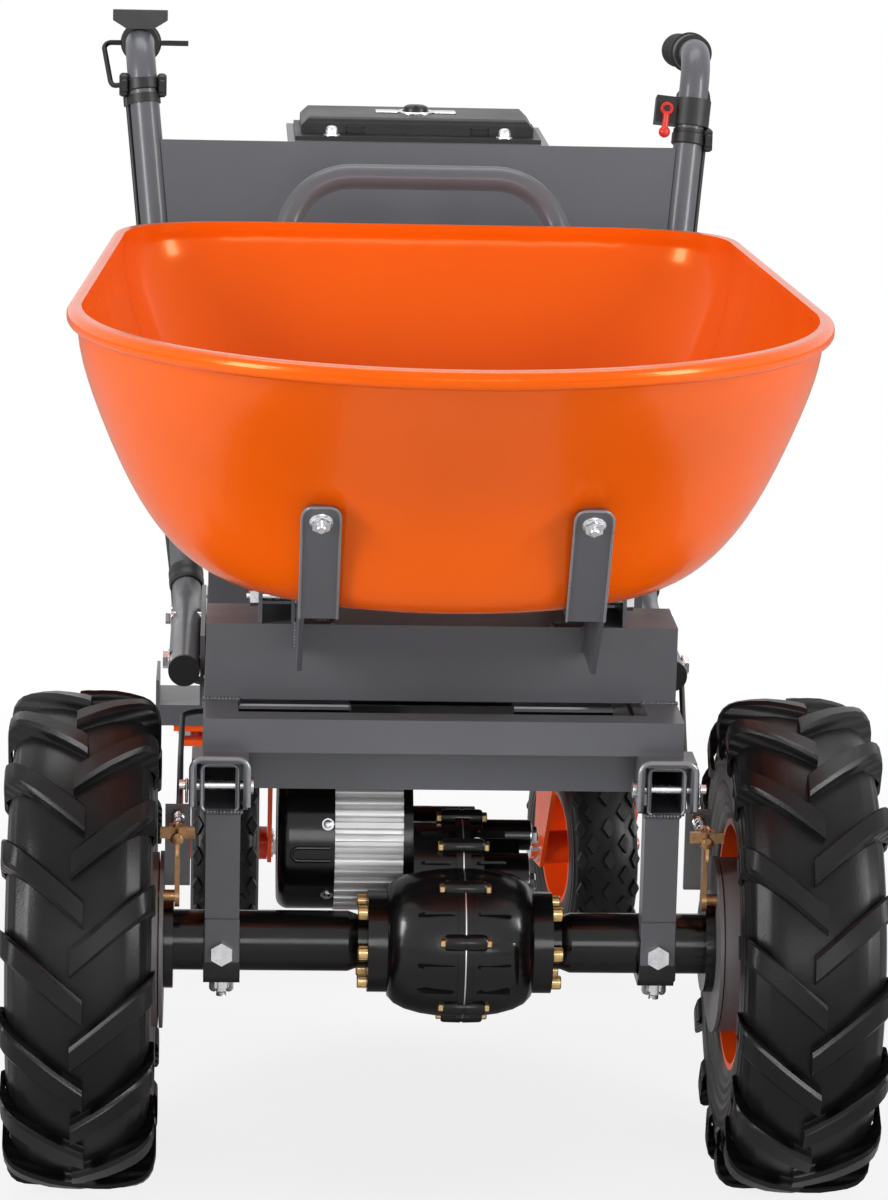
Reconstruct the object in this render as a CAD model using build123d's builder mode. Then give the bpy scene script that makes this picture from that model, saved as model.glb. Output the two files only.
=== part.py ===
from build123d import *
from math import acos, atan2, cos, degrees, pi, radians, sin, sqrt, tan
import os

os.makedirs("parts", exist_ok=True)

# Electric wheelbarrow. Millimetres, +Z up, the front faces -Y, "right" is +X.
# The origin lies on the ground under the middle of the machine; y sizes count from the drive axle.

# Overall layout
TYRE_R = 205
TYRE_W = 122
TRACK = 585
FRONT_REACH = 282
REAR_REACH = 930
AXLE_Z = TYRE_R
RUN = 0.05
GAP = 0.3
SIDES = (-1, 1)

# Hexagon heads and nuts, as shares of the thread radius
HEX_SIDES = 6
HEX_SHARE = 1.7
HEAD_SHARE = 1.3
NUT_SHARE = 1.4

# Chassis tubes
RAIL_X = 182
RAIL_W = 30
RAIL_H = 40
RAIL_WALL = 2.5
RAIL_TOP = 364
RAIL_BOTTOM = RAIL_TOP - RAIL_H
RAIL_REAR = 640
CROSS_W = 30
CROSS_H = 32
FRONT_CROSS_Y = 10
MID_CROSS_Y = 300
TRAY_Y = 190
TRAY_LENGTH = 80
TRAY_T = 3
BRACKET_T = 4
BRACKET_Y = 288
BRACKET_LENGTH = 212
BRACKET_Z = 332
BRACKET_H = 64

# Tipping hinge at the front of the rails
PIN_Y = -26
PIN_Z = RAIL_TOP - RAIL_H / 2
PIN_R = 4
PIN_HEAD_R = 7
PIN_HEAD_T = 4
RAIL_NOSE = 10
CLEVIS_T = 4
CLEVIS_GAP = 4
CLEVIS_HALF = 20
CLIP_R = 9
CLIP_WIRE = 1.2
CLIP_AT = 4
PIN_TAIL = 10

# Tipping frame
TIP_PAD_T = 7
TIP_Z = RAIL_TOP + TIP_PAD_T
TIP_H = 28
TIP_W = 28
TIP_WALL = 2.5
TIP_TOP = TIP_Z + TIP_H
TIP_FRONT = -24
TIP_FRONT_W = 25
TIP_REAR = 483
TIP_REAR_W = 28
PAD_Y = 430
PAD_LENGTH = 40
PAD_INSET = 2
BEAM_HALF = 195
BEAM_T = 3
BEAM_TOP = 463
FRONT_BEAM_Y = 44
BEAM_DEPTH = 76
REAR_BEAM_Y = 360

# Tub, as plan sections: height, half width, front, rear
TUB_FLOOR = 505
TUB_RIM = 722
TUB_SHELL = 2
RIM_OUT = 10
RIM_H = 15
RIM_ROUND = 6.5
TUB_SHAPE = (
    (0.0, 157, -95, 431),
    (0.03, 188, -113, 439),
    (0.10, 213, -124, 449),
    (0.26, 244, -140, 465),
    (0.63, 283, -197, 503),
    (1.0, 300, RIM_OUT - FRONT_REACH, 540),
)
TUB_WIDEST = 30
TUB_TAPER = 0.92
TUB_CORNER = 96
TUB_REAR_FLAT = 0.52

# Straps, bearers and hoop on the tub
STRAP_X = 106
STRAP_W = 30
STRAP_T = 5
STRAP_FACE = -98
STRAP_TOP = 602
STRAP_TAIL = 60
STRAP_BOLT_Z = 589
STRAP_BOLT_R = 4
STRAP_BOLT_L = 16
STRAP_STAND = 10
STRAP_ROUND = 9
GUSSET_T = 4
GUSSET_TIP_Y = -34
GUSSET_TIP_Z = 442
BEARER_X = 137
BEARER_W = 30
BEARER_T = 3
BEARER_FRONT = 46
BEARER_REAR = 415
BEARER_BOLT_Y = 60
BEARER_BOLT_R = 5
HOOP_X = 127.5
HOOP_R = 11.5
HOOP_WALL = 2
HOOP_FOOT_Y = 469
HOOP_TOP_Y = 590
HOOP_TOP_Z = 767
HOOP_BEND = 62

# Drive axle
AXLE_R = 25
AXLE_BORE = 17
SHAFT_R = 12.5
AXLE_FLANGE_R = 42
AXLE_FLANGE_T = 8
HUB_FLANGE_R = 40
SADDLE_X = 179
SADDLE_W = 30
SADDLE_FRONT = 8
SADDLE_DROP = 29
LEG_W = 28
LEG_WALL = 2.5
LEG_T = 4
LEG_CUT = 12
TAB_BOTTOM = 16
LEG_BOLT_R = 5

# Gearbox, motor and gears
CASE_LEFT = -51
CASE_RIGHT = 85
SPLIT_X = 20
GASKET_T = 1
BELLY_R = 58
BELLY_LEFT = -12
BELLY_RIGHT = 52
CASE_FLANGE_T = 8
CASE_NECK_R = 38
CASE_WALL = 6
SPLIT_RIB = 5
SPLIT_RIB_W = 6
IDLER_CASE_R = 50
IDLER_LEFT = -21
IDLER_RIGHT = 37
IDLER_BOSS_R = 24
IDLER_BOSS_RIGHT = 76
PINION_CASE_R = 24
PINION_BORE = 17
PINION_RIGHT = 33
MOTOR_BOSS_R = 13
MOTOR_BOSS_RIGHT = 80
BOSS_WEB = 14
MODULE = 2
RING_TEETH = 48
IDLER_SMALL = 14
IDLER_LARGE = 40
PINION_TEETH = 12
IDLER_DIR = 37.79
MOTOR_DIR = 33.1
RING_X = 26
RING_W = 12
IDLER_BEARING_GAP = 8
FLANK_STEPS = 4
LARGE_X = -6
LARGE_W = 12
PRESSURE = 20
ADDENDUM = 0.8
DEDENDUM = 1.2
BACKLASH = 0.35
SLEEVE_R = 18
DIFF_R = 30
DIFF_LEFT = 14
DIFF_RIGHT = 60
DIFF_BORE = 24
DIFF_WALL = 8
DIFF_CLEAR = 2
SIDE_GEAR_R = 21
SIDE_GEAR_T = 9
SIDE_GEAR_GAP = 8
IDLER_SHAFT_R = 8
MOTOR_SHAFT_R = 7
BEARING_T = 10
BEARING_WALL = 6
MOTOR_R = 64.5
MOTOR_LEFT = -134
MOTOR_FINS_LEFT = -86
MOTOR_FINS_RIGHT = -29
MOTOR_FINS = 40
FIN_DEPTH = 5
FIN_GROOVE = 4.6
STATOR_R = 39
ROTOR_R = 38.4
BELL_WALL = 5
CASE_BOLT_R = 3
CASE_BOLT_PITCH = 34
CASE_BOLTS = 6
PLUG_R = 5
PLUG_HEAD = 5
PLUG_DIR = 129

# Drive wheels and drum brakes
LUGS = 16
LUG_W = 21
LUG_SWEEP = 52
LUG_NOSE = -4
LUG_TAIL = 24
LUG_EDGE = 8
LUG_BEVEL = 10
LUG_CROWN = 4
LUG_ROOT = 45
LUG_CUT_H = 60
CARCASS_R = 194
CARCASS_SIDE = ((6, 126), (2, 152), (7, 178), (22, 190))
TYRE_WALL = 8
CAVITY_SQUEEZE = 0.84
BEAD_R = 101.6
RIM_HALF = 47.5
RIM_T = 2.5
RIM_FLANGE = 12.4
WELL_R = 88
WELL_HALF = 18
WELL_SLOPE = 6
DISC_IN = 10.5
DISC_X = TRACK / 2 - DISC_IN
DISC_T = 4
HUB_R = 30
HUB_REACH = 36
HUB_OUT = DISC_X + HUB_REACH
STUDS = 4
STUD_PITCH = 50
STUD_R = 6
NUT_H = 11
STUD_HEX = 1.6
STUD_TIP = 5
HUB_NUT_HEX = 1.5
DRUM_R = 72
DRUM_BORE = 65
DRUM_DEPTH = 51
DRUM_X = DISC_X - DRUM_DEPTH
DRUM_WEB = 8
PLATE_GAP = 4
PLATE_X = DRUM_X - PLATE_GAP
PLATE_T = 3
PLATE_R = 73
SHOE_OUT = 64.4
SHOE_IN = 54
SHOE_W = 30
ANCHOR_R = 6
SHOE_GAP = 4
CAM_PITCH = 52
CAM_DIR = 120
CAM_R = 5
CAM_BLOCK = 12
CAM_FLAT = 8
CAM_CLEAR = 7.6
ARM_IN = 13
ARM_X = PLATE_X - ARM_IN
ARM_T = 4
ARM_W = 14
ARM_LENGTH = 56
ARM_HUB_R = 9
KNUCKLE_R = 5
KNUCKLE_IN = 6
PULL_R = 2.5
PULL_L = 34
PULL_BACK = 12
WING_HUB_R = 6
WING_HUB_L = 9
WING_HALF = 14
WING_FRONT = 13
WING_REAR = 9
WING_LOW = 4
WING_HIGH = 5
ANCHOR_LUG_Y = 34
ANCHOR_LUG_Z = 302
ANCHOR_LUG_EDGE = 8
LUG_T = 6

# Casters
CASTER_X = 177
CASTER_Y = 600
CASTER_TRAIL = 38
CASTER_R = 110
CASTER_W = 65
CASTER_TOE = {-1: 0, 1: 10}
CASTER_BEAD_R = 55
CASTER_RIM_T = 3
CASTER_RIM_LIP = 8
CASTER_RIM_INSET = 6
CASTER_BULGE_R = 75
CASTER_SHOULDER = 5
CASTER_EDGE = 14
CASTER_CROWN = 2
CASTER_HUB_R = 16
CASTER_AXLE_R = 6
CASTER_AXLE_TIP = 12
FORK_IN = 41
FORK_T = 4
FORK_CROWN_Z = 226
FORK_CROWN_T = 6
FORK_LEG_W = 40
STEM_R = 9
STEM_H = 15
RACE_R = 28
PLATE_HALF_X = 50
PLATE_HALF_Y = 38
CASTER_PLATE_T = 6
CBEAM_HALF = 244
CBEAM_DEPTH = 80
CBEAM_H = 20
CBEAM_WALL = 3
CBEAM_LIP_H = 24
CASTER_PLATE_TOP = 246
POST_W = 30
CASTER_BOLT_R = 4
CASTER_BOLT_X = 38
CASTER_BOLT_Y = 27

# Handles
HANDLE_R = 14
HANDLE_BORE = 12
HANDLE_X = 215
HANDLE_Z = 367
HANDLE_FRONT = 280
HANDLE_BEND_Y = 600
HANDLE_TOP_X = 268
HANDLE_TOP_Y = 740
HANDLE_TOP_Z = 872
HANDLE_END_Z = 858
HANDLE_LOW_BEND = 80
HANDLE_TOP_BEND = 40
CAP_T = 4
CAP_DEPTH = 14
GRIP_R = 17
GRIP_FLANGE_R = 20
GRIP_FLANGE_T = 5
GRIP_GAP = 3
HANDLE_BOLT_R = 4
HANDLE_BOLTS_AT = ((318, 0), (470, 6))

# Back plate, shelf, console, battery
BOARD_TOP_Z = 785
BOARD_BOTTOM_Z = 672
BOARD_T = 3
BOARD_INSET = 12
SHELF_HALF = 125
SHELF_DEPTH = 157
CONSOLE_HALF = 112
CONSOLE_LIP = 6
CONSOLE_SETBACK = 35
CONSOLE_DEPTH = 110
CONSOLE_LIP_SETBACK = 11
CONSOLE_LIP_T = 4
CONSOLE_H = 20
CONSOLE_WALL = 2.5
CONSOLE_CHAMFER = 8
KNOB_R = 9
KNOB_H = 4
KNOB_STEM_R = 3
CONSOLE_BOLT_X = 83
CONSOLE_BOLT_SETBACK = 20
CONSOLE_BOLT_R = 3
BATTERY_HALF = 100
BATTERY_SETBACK = 25
BATTERY_DEPTH = 122
BATTERY_Z = 640
BATTERY_WALL = 3
BATTERY_SLACK = 3
CONTROLLER_HALF = 70
CONTROLLER_LENGTH = 100
CONTROLLER_H = 26
CONTROLLER_FINS = 7
CONTROLLER_FIN_H = 8
CONTROLLER_FIN_T = 4

# Controls on the handles
CLAMP_R = 18
THROTTLE_AT = 42
THROTTLE_L = 22
THROTTLE_HEAD = 26
THROTTLE_NECK = 13
THROTTLE_SHOULDER = 22
THROTTLE_TOP = 32
THROTTLE_HEAD_L = 44
THUMB_RING = 5
THUMB_REACH = 46
THUMB_T = 5
THUMB_W = 16
THUMB_CLEAR = 2
PERCH_AT = 40
PERCH_L = 24
PERCH_DROP = 40
PERCH_W = 16
LEVER_PIN_R = 3
LEVER_PIN_DROP = 32
LEVER_HUB_R = 7
LEVER_L = 105
LEVER_W = 12
LEVER_T = 7
LEVER_SLOPE = 9
SWITCH_AT = 0.865
SWITCH_L = 26
SWITCH_BOX = 20
SWITCH_SINK = 3
SWITCH_PIVOT_R = 3
SWITCH_HUB_R = 6
SWITCH_HUB_T = 6
TOGGLE_R = 4
TOGGLE_STALK_R = TOGGLE_R / 1.35
TOGGLE_L = 20
TOGGLE_BALL = 5.5

# Cables
CABLE_R = 2.5
CABLE_BEND = 22
LEAD_BEND = 14
BAND_T = 1.5
BAND_W = 9
CABLE_SPREAD = 25
LEAD_R = 3.5
BANDS = {-1: (0.22, 0.5, 0.89), 1: (0.22, 0.5, 0.842)}
CABLE_HIGH = 0.93
CABLE_LOW = 0.19
CABLE_SLACK = 110
CABLE_ENTRY = 50
CROSSING_Y = 315
LEAD_CROSS_Y = 500
LEAD_DROP = 15
LEAD_X = 40
LOOP_OUT = 18
LOOP_DROP = 38

# The rising and rear runs of a handle, and where the axle lies so that the origin is in the middle
UPRIGHT_RUN = HANDLE_TOP_Y - HANDLE_BEND_Y
UPRIGHT_RISE = HANDLE_TOP_Z - HANDLE_Z
UPRIGHT_LEAN = degrees(atan2(UPRIGHT_RUN, UPRIGHT_RISE))
GRIP_RUN = REAR_REACH - HANDLE_TOP_Y
GRIP_RISE = HANDLE_END_Z - HANDLE_TOP_Z
GRIP_TILT = atan2(GRIP_RISE, GRIP_RUN)
GRIP_FROM = THROTTLE_AT + THROTTLE_L + GAP + THUMB_RING + GRIP_GAP
AXLE_Y = (FRONT_REACH - REAR_REACH - GRIP_R * abs(sin(GRIP_TILT))) / 2

# Where the back plate stands between the rising tubes, and what stands on its shelf
BOARD_SHARE = (BOARD_TOP_Z - HANDLE_Z) / UPRIGHT_RISE
BOARD_AHEAD = sqrt(HANDLE_R ** 2 - BOARD_INSET ** 2) / cos(radians(UPRIGHT_LEAN))
BOARD_Y = HANDLE_BEND_Y + BOARD_SHARE * UPRIGHT_RUN - BOARD_AHEAD
SHELF_REAR = BOARD_Y + SHELF_DEPTH
CONSOLE_FRONT = BOARD_Y + CONSOLE_SETBACK
CONSOLE_REAR = CONSOLE_FRONT + CONSOLE_DEPTH
CONSOLE_LIP_FRONT = BOARD_Y + CONSOLE_LIP_SETBACK
CONSOLE_BOLT_Y = BOARD_Y + CONSOLE_BOLT_SETBACK
BATTERY_FRONT = BOARD_Y + BATTERY_SETBACK
BATTERY_REAR = BATTERY_FRONT + BATTERY_DEPTH


def from_axle(y):
    return AXLE_Y + y


def side_plane(x, y=0, z=AXLE_Z):
    # Plane square to the axle: its own x runs along +Y, its own y along +Z
    return Plane((x, from_axle(y), z), x_dir=(0, 1, 0), z_dir=(1, 0, 0))


def turning_plane(y=0, z=AXLE_Z, x=0):
    # Plane through a shaft: its own x runs along +X, its own y is the radius upwards
    return Plane((x, from_axle(y), z), x_dir=(1, 0, 0), z_dir=(0, -1, 0))


def axis_x(y=0, z=AXLE_Z):
    return Axis((0, from_axle(y), z), (1, 0, 0))


def rod(x0, x1, radius, y=0, z=AXLE_Z, bore=0):
    with BuildPart() as piece:
        with BuildSketch(side_plane(x0, y, z)):
            Circle(radius)
            if bore:
                Circle(bore, mode=Mode.SUBTRACT)
        extrude(amount=x1 - x0)
    return piece.part


def turned(points, y=0, z=AXLE_Z):
    with BuildPart() as piece:
        with BuildSketch(turning_plane(y, z)):
            with BuildLine():
                Polyline(*points, close=True)
            make_face()
        revolve(axis=axis_x(y, z))
    return piece.part


def block(x0, x1, y0, y1, z0, z1):
    with BuildPart() as piece:
        with BuildSketch(Plane.XY.offset(z0)):
            with Locations(((x0 + x1) / 2, from_axle((y0 + y1) / 2))):
                Rectangle(abs(x1 - x0), y1 - y0)
        extrude(amount=z1 - z0)
    return piece.part


def square_tube(x0, x1, y0, y1, z0, z1, wall, along):
    inset = [0 if along == axis else wall for axis in "xyz"]
    with BuildPart() as piece:
        add(block(x0, x1, y0, y1, z0, z1))
        add(
            block(x0 + inset[0], x1 - inset[0], y0 + inset[1], y1 - inset[1], z0 + inset[2], z1 - inset[2]),
            mode=Mode.SUBTRACT,
        )
    return piece.part


def flat(points, x0, x1):
    # Plate cut to a side outline of (y, z) points, standing between two x values
    with BuildPart() as piece:
        with BuildSketch(side_plane(min(x0, x1), 0, 0)):
            with BuildLine():
                Polyline(*points, close=True)
            make_face()
        extrude(amount=abs(x1 - x0))
    return piece.part


def pipe(points, bends, outer, inner=0):
    with BuildPart() as piece:
        with BuildLine() as path:
            FilletPolyline(*[(x, from_axle(y), z) for x, y, z in points], radius=bends)
        with BuildSketch(Plane(origin=path.line @ 0, z_dir=path.line % 0)):
            Circle(outer)
            if inner:
                Circle(inner, mode=Mode.SUBTRACT)
        sweep()
    return piece.part


def hex_bolt(start, direction, radius, length, nut_at=None):
    # Hexagon head with its washer face at start, the shank along direction, a nut further down if asked
    seat = Plane((start[0], from_axle(start[1]), start[2]), z_dir=direction)
    with BuildPart() as piece:
        with BuildSketch(seat):
            RegularPolygon(radius * HEX_SHARE, HEX_SIDES, major_radius=False)
        extrude(amount=-radius * HEAD_SHARE)
        with BuildSketch(seat):
            Circle(radius)
        extrude(amount=length)
        if nut_at:
            with BuildSketch(seat.offset(nut_at)):
                RegularPolygon(radius * HEX_SHARE, HEX_SIDES, major_radius=False)
            extrude(amount=radius * NUT_SHARE)
    return piece.part


def shank(start, direction, radius, length):
    with BuildPart() as piece:
        with BuildSketch(Plane((start[0], from_axle(start[1]), start[2]), z_dir=direction)):
            Circle(radius)
        extrude(amount=length)
    return piece.part


def fused(*pieces, cuts=()):
    with BuildPart() as piece:
        for item in pieces:
            add(item)
        for item in cuts:
            add(item, mode=Mode.SUBTRACT)
    return piece.part


def solids_of(pieces):
    return [solid for piece in pieces for solid in piece.solids()]


def save(name, *pieces):
    parts = solids_of(pieces)
    node = Part() + parts[0] if len(parts) == 1 else Compound(children=parts)
    node.label = name
    export_step(node, f"parts/{name}.step")


def handle_path(side):
    return (
        (side * HANDLE_X, HANDLE_FRONT, HANDLE_Z),
        (side * HANDLE_X, HANDLE_BEND_Y, HANDLE_Z),
        (side * HANDLE_TOP_X, HANDLE_TOP_Y, HANDLE_TOP_Z),
        (side * HANDLE_TOP_X, REAR_REACH, HANDLE_END_Z),
    )


def on_upright(side, share):
    # Point on the straight rising run of a handle tube, by its share of the run
    low = handle_path(side)[1]
    high = handle_path(side)[2]
    return tuple(low[i] + share * (high[i] - low[i]) for i in range(3))


def on_grip(side, distance, drop=0):
    # Point on a handle's rear run, counted from the elbow, with a drop square to the run
    y = HANDLE_TOP_Y + distance * cos(GRIP_TILT) + drop * sin(GRIP_TILT)
    z = HANDLE_TOP_Z + distance * sin(GRIP_TILT) - drop * cos(GRIP_TILT)
    return (side * HANDLE_TOP_X, y, z)


def grip_plane(side, distance, drop=0):
    x, y, z = on_grip(side, distance, drop)
    return Plane((x, from_axle(y), z), x_dir=(1, 0, 0), z_dir=(0, cos(GRIP_TILT), sin(GRIP_TILT)))


# Fasteners of the frame, with the shanks that their holes are cut from
leg_bolts = []
leg_shanks = []
for side in SIDES:
    face = -(AXLE_R + SADDLE_FRONT + LEG_T)
    start = (side * SADDLE_X, face, AXLE_Z)
    leg_bolts.append(hex_bolt(start, (0, 1, 0), LEG_BOLT_R, LEG_T + SADDLE_FRONT - 1))
    leg_shanks.append(shank(start, (0, 1, 0), LEG_BOLT_R, LEG_T + SADDLE_FRONT - 1))
    under = (side * SADDLE_X, -AXLE_R / 2, AXLE_Z - SADDLE_DROP)
    leg_bolts.append(hex_bolt(under, (0, 0, 1), LEG_BOLT_R, LEG_BOLT_R))
    leg_shanks.append(shank(under, (0, 0, 1), LEG_BOLT_R, LEG_BOLT_R))

handle_bolts = []
handle_shanks = []
for side in SIDES:
    for y, up in HANDLE_BOLTS_AT:
        start = (side * (HANDLE_X + HANDLE_R), y, HANDLE_Z + up)
        reach = HANDLE_X + HANDLE_R - (RAIL_X + RAIL_W / 2)
        handle_bolts.append(hex_bolt(start, (-side, 0, 0), HANDLE_BOLT_R, reach))
        handle_shanks.append(shank(start, (-side, 0, 0), HANDLE_BOLT_R, reach))

console_bolts = []
console_shanks = []
for side in SIDES:
    start = (side * CONSOLE_BOLT_X, CONSOLE_BOLT_Y, BOARD_TOP_Z + CONSOLE_LIP_T)
    reach = CONSOLE_LIP_T + BOARD_T
    console_bolts.append(hex_bolt(start, (0, 0, -1), CONSOLE_BOLT_R, reach))
    console_shanks.append(shank(start, (0, 0, -1), CONSOLE_BOLT_R, reach))

caster_bolts = []
caster_shanks = []
for side in SIDES:
    for dx in (-CASTER_BOLT_X, CASTER_BOLT_X):
        for dy in (-CASTER_BOLT_Y, CASTER_BOLT_Y):
            start = (side * CASTER_X + dx, CASTER_Y + dy, CASTER_PLATE_TOP - CASTER_PLATE_T)
            reach = CASTER_PLATE_T + CBEAM_WALL
            caster_bolts.append(hex_bolt(start, (0, 0, 1), CASTER_BOLT_R, reach))
            caster_shanks.append(shank(start, (0, 0, 1), CASTER_BOLT_R, reach))

save("frame_bolts", *leg_bolts, *handle_bolts, *console_bolts, *caster_bolts)

# Chassis: two rails open at the front, cross tubes between them, tray, handle brackets
pin_holes = [
    rod(side * RAIL_X - RAIL_W, side * RAIL_X + RAIL_W, PIN_R + RUN, PIN_Y, PIN_Z) for side in SIDES
]
RAIL_IN = RAIL_X - RAIL_W / 2
RAIL_OUT = RAIL_X + RAIL_W / 2
chassis = []
for side in SIDES:
    rail = square_tube(
        side * RAIL_X - RAIL_W / 2, side * RAIL_X + RAIL_W / 2,
        PIN_Y - RAIL_NOSE, RAIL_REAR, RAIL_BOTTOM, RAIL_TOP, RAIL_WALL, "y",
    )
    chassis.append(fused(rail, cuts=pin_holes))
    x0, x1 = sorted((side * RAIL_OUT, side * (RAIL_OUT + BRACKET_T)))
    bracket = block(x0, x1, BRACKET_Y, BRACKET_Y + BRACKET_LENGTH, BRACKET_Z, BRACKET_Z + BRACKET_H)
    chassis.append(fused(bracket, cuts=handle_shanks))
for y in (FRONT_CROSS_Y, MID_CROSS_Y):
    chassis.append(
        square_tube(-RAIL_IN, RAIL_IN, y, y + CROSS_W, RAIL_TOP - CROSS_H, RAIL_TOP, RAIL_WALL, "x")
    )
chassis.append(
    block(-RAIL_IN, RAIL_IN, TRAY_Y, TRAY_Y + TRAY_LENGTH, RAIL_BOTTOM, RAIL_BOTTOM + TRAY_T)
)
save("chassis_frame", *chassis)

# Rear beam over the casters, with end lips and posts under the rails
CBEAM_TOP = CASTER_PLATE_TOP + CBEAM_H
beam_y0 = CASTER_Y - CBEAM_DEPTH / 2
beam_y1 = CASTER_Y + CBEAM_DEPTH / 2
with BuildPart() as caster_beam:
    add(square_tube(-CBEAM_HALF, CBEAM_HALF, beam_y0, beam_y1, CASTER_PLATE_TOP, CBEAM_TOP, CBEAM_WALL, "x"))
    for side in SIDES:
        x0, x1 = sorted((side * CBEAM_HALF, side * (CBEAM_HALF - CBEAM_WALL)))
        add(block(x0, x1, beam_y0, beam_y1, CBEAM_TOP, CBEAM_TOP + CBEAM_LIP_H))
        add(
            block(
                side * RAIL_X - POST_W / 2, side * RAIL_X + POST_W / 2,
                CASTER_Y - POST_W / 2, CASTER_Y + POST_W / 2, CBEAM_TOP, RAIL_BOTTOM,
            )
        )
    for hole in caster_shanks:
        add(hole, mode=Mode.SUBTRACT)
    for side in SIDES:
        add(
            shank((side * CASTER_X, CASTER_Y, CASTER_PLATE_TOP - 1), (0, 0, 1), STEM_R + 3, STEM_H),
            mode=Mode.SUBTRACT,
        )
caster_beam.part.label = "caster_beam"
export_step(caster_beam.part, "parts/caster_beam.step")

# Axle tubes with the saddles that the legs bolt to
FLANGE_BOLTS_DIR = [360 / CASE_BOLTS * i for i in range(CASE_BOLTS)]
case_bolts = []
case_shanks = []
for side, face in ((-1, CASE_LEFT), (1, CASE_RIGHT)):
    for angle in FLANGE_BOLTS_DIR:
        y = CASE_BOLT_PITCH * cos(radians(angle))
        z = AXLE_Z + CASE_BOLT_PITCH * sin(radians(angle))
        start = (face + side * AXLE_FLANGE_T, y, z)
        reach = AXLE_FLANGE_T + CASE_FLANGE_T
        case_bolts.append(hex_bolt(start, (-side, 0, 0), CASE_BOLT_R, reach))
        case_shanks.append(shank(start, (-side, 0, 0), CASE_BOLT_R, reach))
axle_tubes = []
for side, face in ((-1, CASE_LEFT), (1, CASE_RIGHT)):
    inner = abs(face)
    profile = (
        (side * inner, AXLE_BORE), (side * inner, AXLE_FLANGE_R),
        (side * (inner + AXLE_FLANGE_T), AXLE_FLANGE_R),
        (side * (inner + AXLE_FLANGE_T), AXLE_R - 3),
        (side * (inner + 2 * AXLE_FLANGE_T), AXLE_R - 3),
        (side * (inner + 3 * AXLE_FLANGE_T), AXLE_R),
        (side * (PLATE_X - AXLE_FLANGE_T), AXLE_R),
        (side * (PLATE_X - AXLE_FLANGE_T), HUB_FLANGE_R),
        (side * PLATE_X, HUB_FLANGE_R), (side * PLATE_X, AXLE_BORE),
    )
    saddle = flat(
        (
            (-(AXLE_R + SADDLE_FRONT), AXLE_Z - AXLE_R / 2), (-(AXLE_R + SADDLE_FRONT), AXLE_Z + AXLE_R / 2),
            (-AXLE_R / 2, AXLE_Z + AXLE_R / 2), (AXLE_R / 2, AXLE_Z - AXLE_R / 2),
            (AXLE_R / 2, AXLE_Z - SADDLE_DROP), (-AXLE_R, AXLE_Z - SADDLE_DROP),
        ),
        side * SADDLE_X - SADDLE_W / 2, side * SADDLE_X + SADDLE_W / 2,
    )
    core = rod(-TRACK, TRACK, AXLE_BORE)
    axle_tubes.append(fused(turned(profile), saddle, cuts=[core, *leg_shanks, *case_shanks]))
save("axle_tubes", *axle_tubes)

# Legs from the rails down to the axle, the front wall drawn out into a bolted tab
axle_legs = []
for side in SIDES:
    x0 = side * SADDLE_X - LEG_W / 2
    x1 = side * SADDLE_X + LEG_W / 2
    front = -(AXLE_R + SADDLE_FRONT + LEG_T)
    tube = square_tube(x0, x1, front, front + LEG_W, AXLE_Z + LEG_CUT, RAIL_BOTTOM, LEG_WALL, "z")
    tab = block(x0, x1, front, front + LEG_T, AXLE_Z - TAB_BOTTOM, AXLE_Z + 2 * LEG_CUT)
    keep_clear = block(x0, x1, front + LEG_T, front + 2 * LEG_W, AXLE_Z - AXLE_R, AXLE_Z + AXLE_R / 2)
    axle_legs.append(
        fused(tube, tab, cuts=[keep_clear, rod(x0 - 1, x1 + 1, AXLE_R + RUN), *leg_shanks])
    )
save("axle_legs", *axle_legs)

# Gear train: centres on the axle, on the idler shaft and on the motor shaft
IDLER_PITCH = MODULE * (RING_TEETH + IDLER_SMALL) / 2
MOTOR_PITCH = MODULE * (IDLER_LARGE + PINION_TEETH) / 2
IDLER_Y = IDLER_PITCH * cos(radians(IDLER_DIR))
IDLER_Z = AXLE_Z + IDLER_PITCH * sin(radians(IDLER_DIR))
MOTOR_Y = IDLER_Y + MOTOR_PITCH * cos(radians(MOTOR_DIR))
MOTOR_Z = IDLER_Z + MOTOR_PITCH * sin(radians(MOTOR_DIR))


def involute(base, radius):
    return sqrt((radius / base) ** 2 - 1) - acos(base / radius)


def spur(teeth, tooth_dir, x, width, y, z):
    # Spur gear with one tooth pointing along tooth_dir, in degrees from +Y towards +Z
    pitch = MODULE * teeth / 2
    base = pitch * cos(radians(PRESSURE))
    tip = pitch + ADDENDUM * MODULE
    root = pitch - DEDENDUM * MODULE
    low = max(base, root)
    flank = [low + (tip - low) * i / FLANK_STEPS for i in range(FLANK_STEPS + 1)]
    half = pi / (2 * teeth) - BACKLASH / (2 * pitch) + involute(base, pitch)
    points = []
    for tooth in range(teeth):
        middle = radians(tooth_dir) + 2 * pi * tooth / teeth
        rising = [(r, middle - half + involute(base, r)) for r in flank]
        falling = [(r, middle + half - involute(base, r)) for r in reversed(flank)]
        if root < low:
            rising.insert(0, (root, rising[0][1]))
            falling.append((root, falling[-1][1]))
        points += [(r * cos(a), r * sin(a)) for r, a in rising + falling]
    with BuildPart() as piece:
        with BuildSketch(side_plane(x, y, z)):
            with BuildLine():
                Polyline(*points, close=True)
            make_face()
        extrude(amount=width)
    return piece.part


diff_carrier = fused(
    rod(CASE_LEFT + 1, CASE_RIGHT - 1, SLEEVE_R),
    rod(DIFF_LEFT, DIFF_RIGHT, DIFF_R),
    spur(RING_TEETH, IDLER_DIR, RING_X, RING_W, 0, AXLE_Z),
    cuts=[
        rod(CASE_LEFT, CASE_RIGHT, SHAFT_R + RUN),
        rod(DIFF_LEFT + DIFF_WALL, DIFF_RIGHT - DIFF_WALL, DIFF_BORE),
    ],
)
save("diff_carrier", diff_carrier)

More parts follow.
